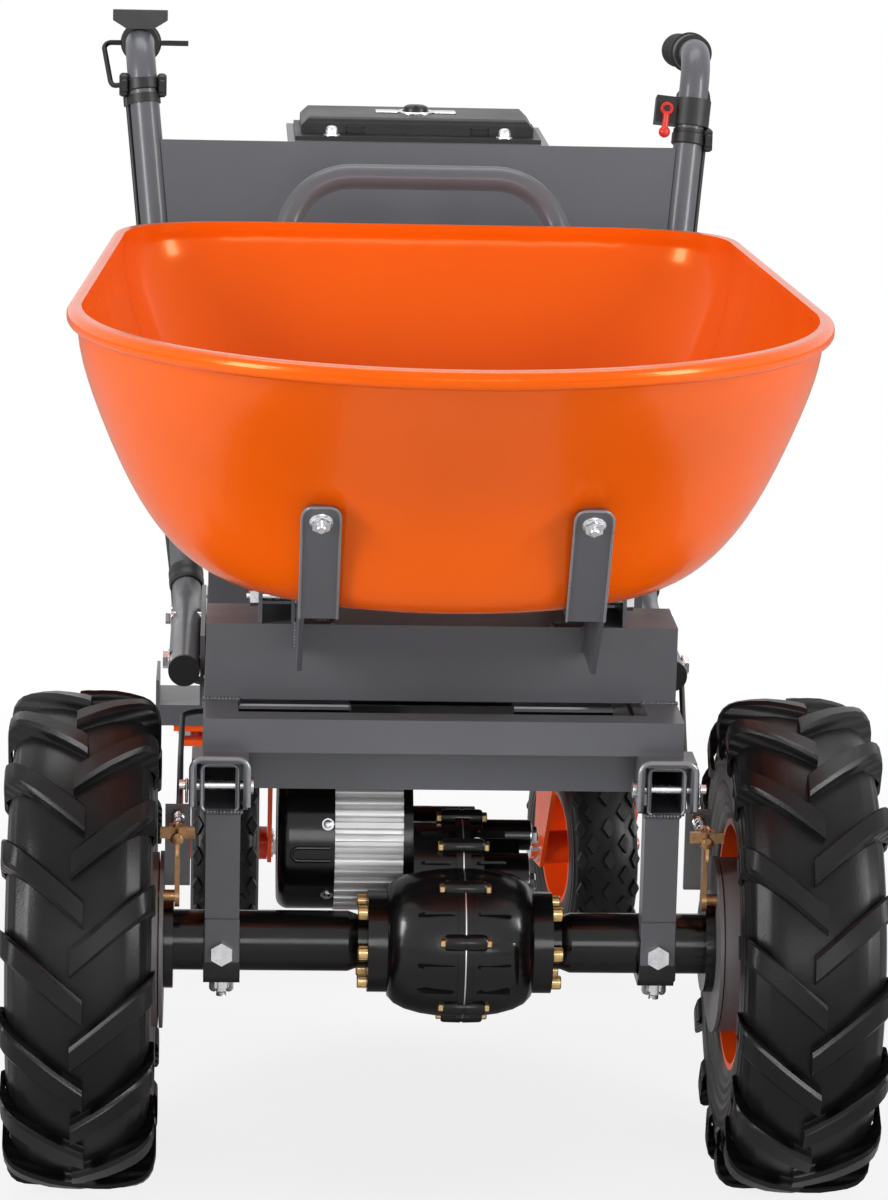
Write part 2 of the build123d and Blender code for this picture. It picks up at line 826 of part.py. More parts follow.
IDLER_BEARING_LEFT = IDLER_LEFT + 2
IDLER_BEARING_RIGHT = RING_X + RING_W + IDLER_BEARING_GAP
small_dir = IDLER_DIR + 180 + 180 / IDLER_SMALL
idler_gear = fused(
    rod(IDLER_BEARING_LEFT, IDLER_BEARING_RIGHT + BEARING_T, IDLER_SHAFT_R, IDLER_Y, IDLER_Z),
    spur(IDLER_SMALL, small_dir, RING_X - 2, RING_W + 4, IDLER_Y, IDLER_Z),
    spur(IDLER_LARGE, MOTOR_DIR, LARGE_X, LARGE_W, IDLER_Y, IDLER_Z),
    rod(LARGE_X + LARGE_W, RING_X - 2, IDLER_SHAFT_R + 2, IDLER_Y, IDLER_Z),
)
save("idler_gear", idler_gear)

pinion_dir = MOTOR_DIR + 180 + 180 / PINION_TEETH
motor_rotor = fused(
    rod(MOTOR_LEFT + BELL_WALL, LARGE_X + LARGE_W + 2, MOTOR_SHAFT_R, MOTOR_Y, MOTOR_Z),
    rod(MOTOR_FINS_LEFT + 4, MOTOR_FINS_RIGHT - 4, ROTOR_R, MOTOR_Y, MOTOR_Z),
    spur(PINION_TEETH, pinion_dir, LARGE_X - 2, LARGE_W + 4, MOTOR_Y, MOTOR_Z),
)
save("motor_rotor", motor_rotor)

# Gearbox case, split square to the axle with a gasket between the halves
SEAT_R = SLEEVE_R + BEARING_WALL
IDLER_SEAT_R = IDLER_SHAFT_R + BEARING_WALL
MOTOR_SEAT_R = MOTOR_SHAFT_R + BEARING_WALL
plug_y = cos(radians(PLUG_DIR))
plug_z = sin(radians(PLUG_DIR))
plug_in = IDLER_CASE_R - CASE_WALL + 1
filler_plug = shank(
    (SPLIT_X + SPLIT_RIB_W + PLUG_R, IDLER_Y + plug_in * plug_y, IDLER_Z + plug_in * plug_z),
    (0, plug_y, plug_z), PLUG_R, CASE_WALL + PLUG_HEAD,
)
save("filler_plug", filler_plug)
belly = turned(
    (
        (CASE_LEFT, 0), (CASE_LEFT, AXLE_FLANGE_R), (CASE_LEFT + CASE_FLANGE_T, AXLE_FLANGE_R),
        (CASE_LEFT + CASE_FLANGE_T, CASE_NECK_R), (BELLY_LEFT, BELLY_R),
        (SPLIT_X - SPLIT_RIB_W, BELLY_R), (SPLIT_X - SPLIT_RIB_W, BELLY_R + SPLIT_RIB),
        (SPLIT_X + SPLIT_RIB_W, BELLY_R + SPLIT_RIB), (SPLIT_X + SPLIT_RIB_W, BELLY_R),
        (BELLY_RIGHT, BELLY_R), (CASE_RIGHT - CASE_FLANGE_T, CASE_NECK_R),
        (CASE_RIGHT - CASE_FLANGE_T, AXLE_FLANGE_R), (CASE_RIGHT, AXLE_FLANGE_R), (CASE_RIGHT, 0),
    )
)
web_y = BOSS_WEB / 2 * sin(radians(MOTOR_DIR))
web_z = BOSS_WEB / 2 * cos(radians(MOTOR_DIR))
boss_web = flat(
    (
        (IDLER_Y - web_y, IDLER_Z + web_z), (MOTOR_Y - web_y, MOTOR_Z + web_z),
        (MOTOR_Y + web_y, MOTOR_Z - web_z), (IDLER_Y + web_y, IDLER_Z - web_z),
    ),
    PINION_RIGHT, IDLER_BOSS_RIGHT - CASE_WALL,
)
case = fused(
    belly,
    rod(IDLER_LEFT, IDLER_RIGHT, IDLER_CASE_R, IDLER_Y, IDLER_Z),
    rod(SPLIT_X - SPLIT_RIB_W, SPLIT_X + SPLIT_RIB_W, IDLER_CASE_R + SPLIT_RIB, IDLER_Y, IDLER_Z),
    rod(IDLER_RIGHT, IDLER_BOSS_RIGHT, IDLER_BOSS_R, IDLER_Y, IDLER_Z),
    rod(IDLER_LEFT, PINION_RIGHT, PINION_CASE_R, MOTOR_Y, MOTOR_Z),
    rod(PINION_RIGHT, MOTOR_BOSS_RIGHT, MOTOR_BOSS_R, MOTOR_Y, MOTOR_Z),
    boss_web,
    cuts=[
        rod(CASE_LEFT, CASE_RIGHT, SEAT_R),
        rod(IDLER_LEFT + 2 * CASE_WALL, BELLY_RIGHT - CASE_WALL, BELLY_R - CASE_WALL),
        rod(DIFF_LEFT, DIFF_RIGHT + DIFF_CLEAR, DIFF_R + DIFF_CLEAR),
        rod(IDLER_LEFT + 2 * CASE_WALL, IDLER_RIGHT - CASE_WALL, IDLER_CASE_R - CASE_WALL, IDLER_Y, IDLER_Z),
        rod(IDLER_RIGHT - CASE_WALL, IDLER_BEARING_RIGHT, IDLER_BOSS_R - CASE_WALL, IDLER_Y, IDLER_Z),
        rod(IDLER_BEARING_RIGHT, IDLER_BEARING_RIGHT + BEARING_T + 2, IDLER_SEAT_R, IDLER_Y, IDLER_Z),
        rod(IDLER_BEARING_LEFT, 0, IDLER_SEAT_R, IDLER_Y, IDLER_Z),
        rod(IDLER_LEFT + 2 * CASE_WALL, PINION_RIGHT - CASE_WALL, PINION_BORE, MOTOR_Y, MOTOR_Z),
        rod(IDLER_LEFT, 0, MOTOR_SHAFT_R + 2, MOTOR_Y, MOTOR_Z),
        filler_plug,
        *case_shanks,
    ],
)
halves = {
    "gearbox_case_left": (CASE_LEFT - 1, SPLIT_X - GASKET_T / 2),
    "gearbox_gasket": (SPLIT_X - GASKET_T / 2, SPLIT_X + GASKET_T / 2),
    "gearbox_case_right": (SPLIT_X + GASKET_T / 2, CASE_RIGHT + 1),
}
for name, (x0, x1) in halves.items():
    with BuildPart() as half:
        add(case)
        add(block(x0, x1, -2 * BELLY_R, 4 * BELLY_R, 0, 3 * AXLE_Z), mode=Mode.INTERSECT)
    save(name, half.part)
save("gearbox_bolts", *case_bolts)

# Bearing rings: carrier, idler, motor shaft and the outer ends of the half shafts
drive_bearings = [
    rod(CASE_LEFT + 1, CASE_LEFT + 1 + BEARING_T, SEAT_R, bore=SLEEVE_R + RUN),
    rod(CASE_RIGHT - 1 - BEARING_T, CASE_RIGHT - 1, SEAT_R, bore=SLEEVE_R + RUN),
    rod(IDLER_BEARING_LEFT, IDLER_BEARING_LEFT + BEARING_T - 1, IDLER_SEAT_R, IDLER_Y, IDLER_Z,
        IDLER_SHAFT_R + RUN),
    rod(IDLER_BEARING_RIGHT, IDLER_BEARING_RIGHT + BEARING_T, IDLER_SEAT_R, IDLER_Y, IDLER_Z,
        IDLER_SHAFT_R + RUN),
    rod(MOTOR_LEFT + BELL_WALL, MOTOR_LEFT + BELL_WALL + BEARING_T, MOTOR_SEAT_R, MOTOR_Y, MOTOR_Z,
        MOTOR_SHAFT_R + RUN),
    rod(MOTOR_FINS_RIGHT, IDLER_LEFT, MOTOR_SEAT_R, MOTOR_Y, MOTOR_Z, MOTOR_SHAFT_R + RUN),
]
for side in SIDES:
    x0, x1 = sorted((side * PLATE_X, side * (PLATE_X - BEARING_T)))
    drive_bearings.append(rod(x0, x1, AXLE_BORE, bore=SHAFT_R + RUN))
save("drive_bearings", *drive_bearings)

# Motor: finned body with the stator, black bells at both ends
with BuildPart() as motor_body:
    add(rod(MOTOR_FINS_LEFT, MOTOR_FINS_RIGHT, MOTOR_R, MOTOR_Y, MOTOR_Z, STATOR_R))
    with BuildSketch(side_plane(MOTOR_FINS_LEFT, MOTOR_Y, MOTOR_Z)):
        with PolarLocations(MOTOR_R, MOTOR_FINS):
            Rectangle(2 * FIN_DEPTH, FIN_GROOVE)
    extrude(amount=MOTOR_FINS_RIGHT - MOTOR_FINS_LEFT, mode=Mode.SUBTRACT)
motor_body.part.label = "motor_body"
export_step(motor_body.part, "parts/motor_body.step")

rear_bell = fused(
    rod(MOTOR_LEFT, MOTOR_FINS_LEFT, MOTOR_R - 1, MOTOR_Y, MOTOR_Z),
    cuts=[
        rod(MOTOR_LEFT + BELL_WALL + BEARING_T, MOTOR_FINS_LEFT, MOTOR_R - BELL_WALL, MOTOR_Y, MOTOR_Z),
        rod(MOTOR_LEFT + BELL_WALL, MOTOR_FINS_LEFT, MOTOR_SEAT_R, MOTOR_Y, MOTOR_Z),
    ],
)
with BuildPart() as soft_bell:
    add(rear_bell)
    fillet(soft_bell.faces().sort_by(Axis.X)[0].outer_wire().edges(), radius=2 * BELL_WALL)
front_bell = rod(MOTOR_FINS_RIGHT, IDLER_LEFT, MOTOR_R - 2, MOTOR_Y, MOTOR_Z, MOTOR_SEAT_R)
save("motor_end_bells", soft_bell.part, front_bell)

# Drive wheels: tyre with staggered lugs in two halves, rim, drum hub with half shaft
wheel_x = TRACK / 2


def mirrored(part):
    with BuildPart() as piece:
        add(part)
        mirror(about=Plane.YZ, mode=Mode.REPLACE)
    return piece.part


half_w = TYRE_W / 2
shoulder = half_w - 1
carcass_side = [(shoulder - inset, radius) for inset, radius in CARCASS_SIDE]
carcass_out = (
    (-RIM_HALF, BEAD_R), *((-x, radius) for x, radius in carcass_side), (0, CARCASS_R),
    *reversed(carcass_side), (RIM_HALF, BEAD_R),
)
lug_out = (
    (-half_w, CARCASS_R - LUG_TAIL), (-half_w, CARCASS_R - LUG_EDGE),
    (-half_w + LUG_BEVEL, TYRE_R - LUG_CROWN),
    (-half_w / 3, TYRE_R), (half_w / 3, TYRE_R),
    (half_w - LUG_BEVEL, TYRE_R - LUG_CROWN), (half_w, CARCASS_R - LUG_EDGE), (half_w, CARCASS_R - LUG_TAIL),
)


def ring_of(outline, smooth):
    with BuildPart() as piece:
        with BuildSketch(turning_plane(x=wheel_x)):
            with BuildLine():
                if smooth:
                    Spline(*outline)
                    Line(outline[-1], outline[0])
                else:
                    Polyline(*outline, close=True)
            make_face()
        revolve(axis=axis_x())
    return piece.part


well_in = WELL_R - RIM_T
seat_in = BEAD_R - RIM_T
rim_points = (
    (-RIM_HALF - RIM_T, BEAD_R + RIM_FLANGE), (-RIM_HALF, BEAD_R + RIM_FLANGE), (-RIM_HALF, BEAD_R),
    (-WELL_HALF - WELL_SLOPE, BEAD_R), (-WELL_HALF, WELL_R), (WELL_HALF, WELL_R),
    (WELL_HALF + WELL_SLOPE, BEAD_R),
    (RIM_HALF, BEAD_R), (RIM_HALF, BEAD_R + RIM_FLANGE), (RIM_HALF + RIM_T, BEAD_R + RIM_FLANGE),
    (RIM_HALF + RIM_T, seat_in), (WELL_HALF + WELL_SLOPE + RIM_T, seat_in), (WELL_HALF + RIM_T, well_in),
    (-WELL_HALF - RIM_T, well_in), (-WELL_HALF - WELL_SLOPE - RIM_T, seat_in), (-RIM_HALF - RIM_T, seat_in),
)
rim_band = ring_of(rim_points, False)

carcass = ring_of(carcass_out, True)
cavity = ring_of(
    [(x * CAVITY_SQUEEZE, BEAD_R if r == BEAD_R else r - TYRE_WALL) for x, r in carcass_out], True
)
lug_root = CARCASS_R - LUG_ROOT
lug_band = ring_of([*lug_out, (half_w, lug_root), (-half_w, lug_root)], False)
lug_pair = []
for side in SIDES:
    with BuildPart() as lug:
        with BuildSketch(Plane((wheel_x, AXLE_Y, AXLE_Z + lug_root))):
            with BuildLine():
                Polyline(
                    (side * LUG_NOSE, -LUG_SWEEP / 2 - LUG_W / 2), (side * half_w, LUG_SWEEP / 2 - LUG_W / 2),
                    (side * half_w, LUG_SWEEP / 2 + LUG_W / 2), (side * LUG_NOSE, -LUG_SWEEP / 2 + LUG_W / 2),
                    close=True,
                )
            make_face()
        extrude(amount=LUG_CUT_H)
        add(lug_band, mode=Mode.INTERSECT)
    lug_pair.append(lug.part)
lugs = []
for i in range(LUGS):
    for share, lug_part in zip((0, 0.5), lug_pair):
        lugs.append(lug_part.rotate(axis_x(), 360 / LUGS * (i + share)))
with BuildPart() as tyre:
    add(carcass)
    add(lugs)
    add(cavity, mode=Mode.SUBTRACT)
    add(rim_band, mode=Mode.SUBTRACT)
save("tyre_right", tyre.part)
save("tyre_left", mirrored(tyre.part))

studs = [
    (STUD_PITCH * cos(2 * pi * i / STUDS + pi / 4), AXLE_Z + STUD_PITCH * sin(2 * pi * i / STUDS + pi / 4))
    for i in range(STUDS)
]
rim = fused(
    rim_band,
    rod(DISC_X, DISC_X + DISC_T, WELL_R - 1),
    cuts=[
        rod(DISC_X - 1, DISC_X + DISC_T + 1, HUB_R + RUN),
        *[rod(DISC_X - 1, DISC_X + DISC_T + 1, STUD_R + RUN, y, z) for y, z in studs],
    ],
)
save("rim_right", rim)
save("rim_left", mirrored(rim))

drum = turned(
    (
        (DRUM_X, DRUM_BORE), (DRUM_X, DRUM_R), (DISC_X, DRUM_R), (DISC_X, HUB_R), (HUB_OUT, HUB_R),
        (HUB_OUT, SHAFT_R), (DISC_X - 3 * DRUM_WEB, SHAFT_R), (DISC_X - 3 * DRUM_WEB, HUB_R),
        (DISC_X - DRUM_WEB, HUB_R), (DISC_X - DRUM_WEB, DRUM_BORE),
    )
)
nuts = []
for y, z in studs:
    with BuildPart() as nut:
        with BuildSketch(side_plane(DISC_X + DISC_T, y, z)):
            RegularPolygon(STUD_R * STUD_HEX, HEX_SIDES, major_radius=False)
        extrude(amount=NUT_H)
        add(rod(DISC_X, DISC_X + DISC_T + NUT_H + STUD_TIP, STUD_R, y, z))
    nuts.append(nut.part)
with BuildPart() as hub_nut:
    with BuildSketch(side_plane(HUB_OUT)):
        RegularPolygon(SHAFT_R * HUB_NUT_HEX, HEX_SIDES, major_radius=False)
        Circle(SHAFT_R, mode=Mode.SUBTRACT)
    extrude(amount=NUT_H)
gear_half = SIDE_GEAR_GAP / 2
middle_x = (DIFF_LEFT + DIFF_RIGHT) / 2


def half_shaft(side):
    inner = side * middle_x + gear_half
    return fused(
        rod(inner, HUB_OUT + NUT_H + 2, SHAFT_R),
        rod(inner, inner + SIDE_GEAR_T, SIDE_GEAR_R),
    )


save("hub_right", drum, *nuts, hub_nut.part, half_shaft(1))
save("hub_left", *[mirrored(piece) for piece in (drum, *nuts, hub_nut.part, half_shaft(-1))])

# Drum brakes: back plate with anchor pin, shoes, and the arm on its cam shaft
CAM_Y = CAM_PITCH * cos(radians(CAM_DIR))
CAM_Z = AXLE_Z + CAM_PITCH * sin(radians(CAM_DIR))
ANCHOR_Y = -CAM_Y
ANCHOR_Z = 2 * AXLE_Z - CAM_Z
PLATE_OUT = PLATE_X + PLATE_T
SHOE_X = PLATE_OUT + SHOE_GAP
cable_lug = flat(
    (
        (ANCHOR_LUG_Y, AXLE_Z + PLATE_R / 2), (ANCHOR_LUG_Y + LUG_T, AXLE_Z + PLATE_R / 2),
        (ANCHOR_LUG_Y + LUG_T, ANCHOR_LUG_Z + ANCHOR_LUG_EDGE), (ANCHOR_LUG_Y, ANCHOR_LUG_Z + ANCHOR_LUG_EDGE),
    ),
    ARM_X - ANCHOR_LUG_EDGE, PLATE_X,
)
back_plate = fused(
    rod(PLATE_X, PLATE_OUT, PLATE_R),
    rod(PLATE_X, SHOE_X + SHOE_W, ANCHOR_R, ANCHOR_Y, ANCHOR_Z),
    cable_lug,
    cuts=[
        rod(PLATE_X - 1, PLATE_OUT + 1, AXLE_BORE),
        rod(ARM_X, SHOE_X, CAM_R + RUN, CAM_Y, CAM_Z),
        shank((ARM_X + ARM_T / 2, ANCHOR_LUG_Y - 1, ANCHOR_LUG_Z), (0, 1, 0), CABLE_R / 2, LUG_T + 2),
    ],
)
save("brake_plates", back_plate, mirrored(back_plate))

shoe_ring = fused(
    rod(SHOE_X, SHOE_X + SHOE_W, SHOE_OUT, bore=SHOE_IN),
    cuts=[rod(SHOE_X, SHOE_X + SHOE_W, ANCHOR_R + RUN, ANCHOR_Y, ANCHOR_Z)],
)
with BuildPart() as shoes:
    add(shoe_ring)
    with BuildSketch(side_plane(SHOE_X)):
        with Locations(Location((0, 0, 0), (0, 0, CAM_DIR))):
            with Locations((SHOE_OUT / 2, 0)):
                Rectangle(SHOE_OUT + 2, 2 * CAM_CLEAR)
            with Locations((-SHOE_OUT / 2, 0)):
                Rectangle(SHOE_OUT + 2, 1)
    extrude(amount=SHOE_W, mode=Mode.SUBTRACT)
save("brake_shoes", shoes.part, mirrored(shoes.part))

arm_plane = side_plane(ARM_X, CAM_Y, CAM_Z)
with BuildPart() as arm:
    with BuildSketch(arm_plane):
        Circle(ARM_HUB_R)
        with Locations((0, ARM_LENGTH / 2)):
            Rectangle(ARM_W, ARM_LENGTH)
        with Locations((0, ARM_LENGTH)):
            Circle(ARM_W / 2)
    extrude(amount=ARM_T)
    add(rod(ARM_X, SHOE_X + SHOE_W, CAM_R, CAM_Y, CAM_Z))
    with BuildSketch(side_plane(SHOE_X, CAM_Y, CAM_Z)):
        with Locations(Location((0, 0, 0), (0, 0, CAM_DIR))):
            Rectangle(CAM_BLOCK, CAM_FLAT)
    extrude(amount=SHOE_W)
    nut_z = CAM_Z + ARM_LENGTH
    middle = ARM_X + ARM_T / 2
    add(rod(ARM_X - KNUCKLE_IN, ARM_X + ARM_T + KNUCKLE_R, KNUCKLE_R, CAM_Y, nut_z))
    add(shank((middle, CAM_Y + PULL_BACK, nut_z), (0, -1, 0), PULL_R, PULL_L))
    add(shank((middle, CAM_Y - KNUCKLE_R, nut_z), (0, -1, 0), WING_HUB_R, WING_HUB_L))
    add(
        block(middle - WING_HALF, middle + WING_HALF, CAM_Y - WING_FRONT, CAM_Y - WING_REAR,
              nut_z - WING_LOW, nut_z + WING_HIGH)
    )
save("brake_arm_right", arm.part)
save("brake_arm_left", mirrored(arm.part))

# Casters: plate, fork with stem and axle bolt, rim and tyre with diamond blocks
CROWN_TOP = FORK_CROWN_Z + FORK_CROWN_T
PLATE_BOTTOM = CASTER_PLATE_TOP - CASTER_PLATE_T
caster_plates = []
for side in SIDES:
    x = side * CASTER_X
    plate = block(
        x - PLATE_HALF_X, x + PLATE_HALF_X, CASTER_Y - PLATE_HALF_Y, CASTER_Y + PLATE_HALF_Y,
        PLATE_BOTTOM, CASTER_PLATE_TOP,
    )
    race = shank((x, CASTER_Y, CROWN_TOP + GAP), (0, 0, 1), RACE_R, PLATE_BOTTOM - CROWN_TOP - GAP)
    stem_hole = shank((x, CASTER_Y, CROWN_TOP), (0, 0, 1), STEM_R + RUN, 2 * STEM_H)
    caster_plates.append(fused(plate, race, cuts=[stem_hole, *caster_shanks]))
save("caster_plates", *caster_plates)


def toed(part, side):
    swivel = Axis((side * CASTER_X, from_axle(CASTER_Y), 0), (0, 0, 1))
    return part.rotate(swivel, CASTER_TOE[side])


def caster(side):
    # Fork, rim and tyre of one caster, drawn trailing straight back and then toed
    x = side * CASTER_X
    wheel_y = CASTER_Y + CASTER_TRAIL
    legs = []
    for edge in SIDES:
        x0, x1 = sorted((x + edge * FORK_IN, x + edge * (FORK_IN + FORK_T)))
        legs.append(
            flat(
                (
                    (CASTER_Y - FORK_LEG_W, FORK_CROWN_Z + FORK_CROWN_T),
                    (CASTER_Y + FORK_LEG_W, FORK_CROWN_Z + FORK_CROWN_T),
                    (wheel_y + FORK_LEG_W / 3, CASTER_R - CASTER_HUB_R),
                    (wheel_y - FORK_LEG_W / 3, CASTER_R - CASTER_HUB_R),
                ),
                x0, x1,
            )
        )
    crown = block(
        x - FORK_IN - FORK_T, x + FORK_IN + FORK_T, CASTER_Y - FORK_LEG_W, CASTER_Y + FORK_LEG_W,
        FORK_CROWN_Z, CROWN_TOP,
    )
    stem = shank((x, CASTER_Y, FORK_CROWN_Z), (0, 0, 1), STEM_R, STEM_H + CROWN_TOP - FORK_CROWN_Z)
    reach = FORK_IN + FORK_T
    axle = hex_bolt((x - reach, wheel_y, CASTER_R), (1, 0, 0), CASTER_AXLE_R,
                    2 * reach + CASTER_AXLE_TIP, 2 * reach)
    bore = rod(x - reach, x + reach, CASTER_AXLE_R, wheel_y, CASTER_R)
    fork = fused(crown, *legs, stem, cuts=[bore])
    half = CASTER_W / 2 - CASTER_RIM_INSET
    rim_profile = (
        (x - half, CASTER_BEAD_R + CASTER_RIM_LIP), (x - half + CASTER_RIM_T, CASTER_BEAD_R + CASTER_RIM_LIP),
        (x - half + CASTER_RIM_T, CASTER_BEAD_R), (x + half - CASTER_RIM_T, CASTER_BEAD_R),
        (x + half - CASTER_RIM_T, CASTER_BEAD_R + CASTER_RIM_LIP), (x + half, CASTER_BEAD_R + CASTER_RIM_LIP),
        (x + half, CASTER_BEAD_R - CASTER_RIM_T), (x + CASTER_RIM_T, CASTER_BEAD_R - CASTER_RIM_T),
        (x + CASTER_RIM_T, CASTER_HUB_R), (x + FORK_IN - GAP, CASTER_HUB_R),
        (x + FORK_IN - GAP, CASTER_AXLE_R + RUN), (x - FORK_IN + GAP, CASTER_AXLE_R + RUN),
        (x - FORK_IN + GAP, CASTER_HUB_R), (x - CASTER_RIM_T, CASTER_HUB_R),
        (x - CASTER_RIM_T, CASTER_BEAD_R - CASTER_RIM_T), (x - half, CASTER_BEAD_R - CASTER_RIM_T),
    )
    caster_rim = turned(rim_profile, wheel_y, CASTER_R)
    inner = half - CASTER_RIM_T
    outline = (
        (x - inner, CASTER_BEAD_R), (x - CASTER_W / 2, CASTER_BULGE_R),
        (x - CASTER_W / 2 + CASTER_SHOULDER, CASTER_R - CASTER_EDGE),
        (x - CASTER_W / 4, CASTER_R - CASTER_CROWN),
        (x, CASTER_R),
        (x + CASTER_W / 4, CASTER_R - CASTER_CROWN),
        (x + CASTER_W / 2 - CASTER_SHOULDER, CASTER_R - CASTER_EDGE),
        (x + CASTER_W / 2, CASTER_BULGE_R), (x + inner, CASTER_BEAD_R),
    )
    with BuildPart() as caster_tyre:
        with BuildSketch(turning_plane(wheel_y, CASTER_R)):
            with BuildLine():
                Spline(*outline)
                Line(outline[-1], outline[0])
            make_face()
        revolve(axis=axis_x(wheel_y, CASTER_R))
        add(caster_rim, mode=Mode.SUBTRACT)
    return [toed(piece, side) for piece in (fork, axle, caster_rim, caster_tyre.part)]


for side, word in zip(SIDES, ("left", "right")):
    fork, axle, caster_rim, caster_tyre = caster(side)
    save(f"caster_fork_{word}", fork, axle)
    save(f"caster_rim_{word}", caster_rim)
    save(f"caster_tyre_{word}", caster_tyre)

# Tipping frame: side tubes, cross tubes and the clevis brackets that straddle the rails
TIP_IN = RAIL_X - TIP_W / 2
clevis_half_in = RAIL_W / 2 + CLEVIS_GAP
clevis_half = clevis_half_in + CLEVIS_T
web_z = TIP_Z - CLEVIS_T
tip_parts = [
    square_tube(-RAIL_X - TIP_W / 2, RAIL_X + TIP_W / 2, TIP_FRONT, TIP_FRONT + TIP_FRONT_W,
                TIP_Z, TIP_TOP, TIP_WALL, "x"),
    square_tube(-TIP_IN, TIP_IN, TIP_REAR - TIP_REAR_W, TIP_REAR, TIP_Z, TIP_TOP, TIP_WALL, "x"),
]
for side in SIDES:
    x = side * RAIL_X
    tip_parts.append(
        square_tube(x - TIP_W / 2, x + TIP_W / 2, TIP_FRONT + TIP_FRONT_W, TIP_REAR,
                    TIP_Z, TIP_TOP, TIP_WALL, "y")
    )
    with BuildPart() as clevis:
        add(
            block(x - clevis_half, x + clevis_half, PIN_Y - CLEVIS_HALF, PIN_Y + CLEVIS_HALF, PIN_Z, TIP_Z)
        )
        add(rod(x - clevis_half, x + clevis_half, CLEVIS_HALF, PIN_Y, PIN_Z))
        add(
            block(x - clevis_half_in, x + clevis_half_in, PIN_Y - 2 * CLEVIS_HALF,
                  PIN_Y + 2 * CLEVIS_HALF, PIN_Z - 2 * CLEVIS_HALF, web_z),
            mode=Mode.SUBTRACT,
        )
        add(rod(x - 2 * clevis_half, x + 2 * clevis_half, PIN_R + RUN, PIN_Y, PIN_Z), mode=Mode.SUBTRACT)
    tip_parts.append(clevis.part)
save("tip_frame", *tip_parts)

hinge_pins = []
for side in SIDES:
    x_in = side * (RAIL_X - clevis_half - GAP)
    x_out = side * (RAIL_X + clevis_half + PIN_TAIL)
    x0, x1 = sorted((x_in, x_out))
    head0, head1 = sorted((x_in, x_in - side * PIN_HEAD_T))
    ring_x = side * (RAIL_X + clevis_half + CLIP_AT)
    pin = fused(
        rod(x0, x1, PIN_R, PIN_Y, PIN_Z),
        rod(head0, head1, PIN_HEAD_R, PIN_Y, PIN_Z),
    )
    clip_middle = (ring_x, from_axle(PIN_Y), PIN_Z - CLIP_R + PIN_R)
    with BuildPart() as clip:
        with BuildSketch(Plane(clip_middle, x_dir=(0, 1, 0), z_dir=(0, 0, 1))):
            with Locations((CLIP_R, 0)):
                Circle(CLIP_WIRE)
        revolve(axis=Axis(clip_middle, (1, 0, 0)))
    hinge_pins.append(fused(pin, cuts=[clip.part]))
    hinge_pins.append(clip.part)
save("hinge_pins", *hinge_pins)

pad_half = TIP_W / 2 - PAD_INSET
rest_pads = [
    block(side * RAIL_X - pad_half, side * RAIL_X + pad_half, PAD_Y, PAD_Y + PAD_LENGTH, RAIL_TOP, TIP_Z)
    for side in SIDES
]
save("rest_pads", *rest_pads)

# Folded box beams under the tub
box_beams = []
for y in (FRONT_BEAM_Y, REAR_BEAM_Y):
    outer = block(-BEAM_HALF, BEAM_HALF, y, y + BEAM_DEPTH, TIP_TOP, BEAM_TOP)
    hollow = block(-BEAM_HALF, BEAM_HALF, y + BEAM_T, y + BEAM_DEPTH - BEAM_T, TIP_TOP, BEAM_TOP - BEAM_T)
    box_beams.append(fused(outer, cuts=[hollow]))
save("box_beams", *box_beams)

# Tub: lofted shell with a rolled rim
TUB_DEPTH = TUB_RIM - TUB_FLOOR


def tub_outline(half, front, rear):
    back = half * TUB_TAPER
    with BuildSketch() as plan:
        with BuildLine():
            nose = EllipticalCenterArc(
                (0, from_axle(TUB_WIDEST)), half, TUB_WIDEST - front, start_angle=180, arc_size=180
            )
            right_side = Line((half, from_axle(TUB_WIDEST)), (back, from_axle(rear - TUB_CORNER)))
            right_corner = Bezier(
                right_side @ 1, (back, from_axle(rear)), (back * TUB_REAR_FLAT, from_axle(rear))
            )
            rear_edge = Line(right_corner @ 1, (-back * TUB_REAR_FLAT, from_axle(rear)))
            left_corner = Bezier(
                rear_edge @ 1, (-back, from_axle(rear)), (-back, from_axle(rear - TUB_CORNER))
            )
            Line(left_corner @ 1, (-half, from_axle(TUB_WIDEST)))
        make_face()
    return plan.sketch


def tub_body(inset, floor):
    with BuildPart() as piece:
        for share, half, front, rear in TUB_SHAPE:
            height = TUB_FLOOR + share * TUB_DEPTH + (floor if share < 1 else 0)
            with BuildSketch(Plane.XY.offset(height)):
                add(tub_outline(half - inset, front + inset, rear - inset))
        loft()
    return piece.part


def wall_front(x, z):
    # y of the tub's front wall at x and z, on straight lines between the plan sections
    share = (z - TUB_FLOOR) / TUB_DEPTH
    for lower, upper in zip(TUB_SHAPE, TUB_SHAPE[1:]):
        if lower[0] <= share <= upper[0]:
            part = (share - lower[0]) / (upper[0] - lower[0])
            half = lower[1] + part * (upper[1] - lower[1])
            front = lower[2] + part * (upper[2] - lower[2])
    return TUB_WIDEST - (TUB_WIDEST - front) * sqrt(1 - (x / half) ** 2)


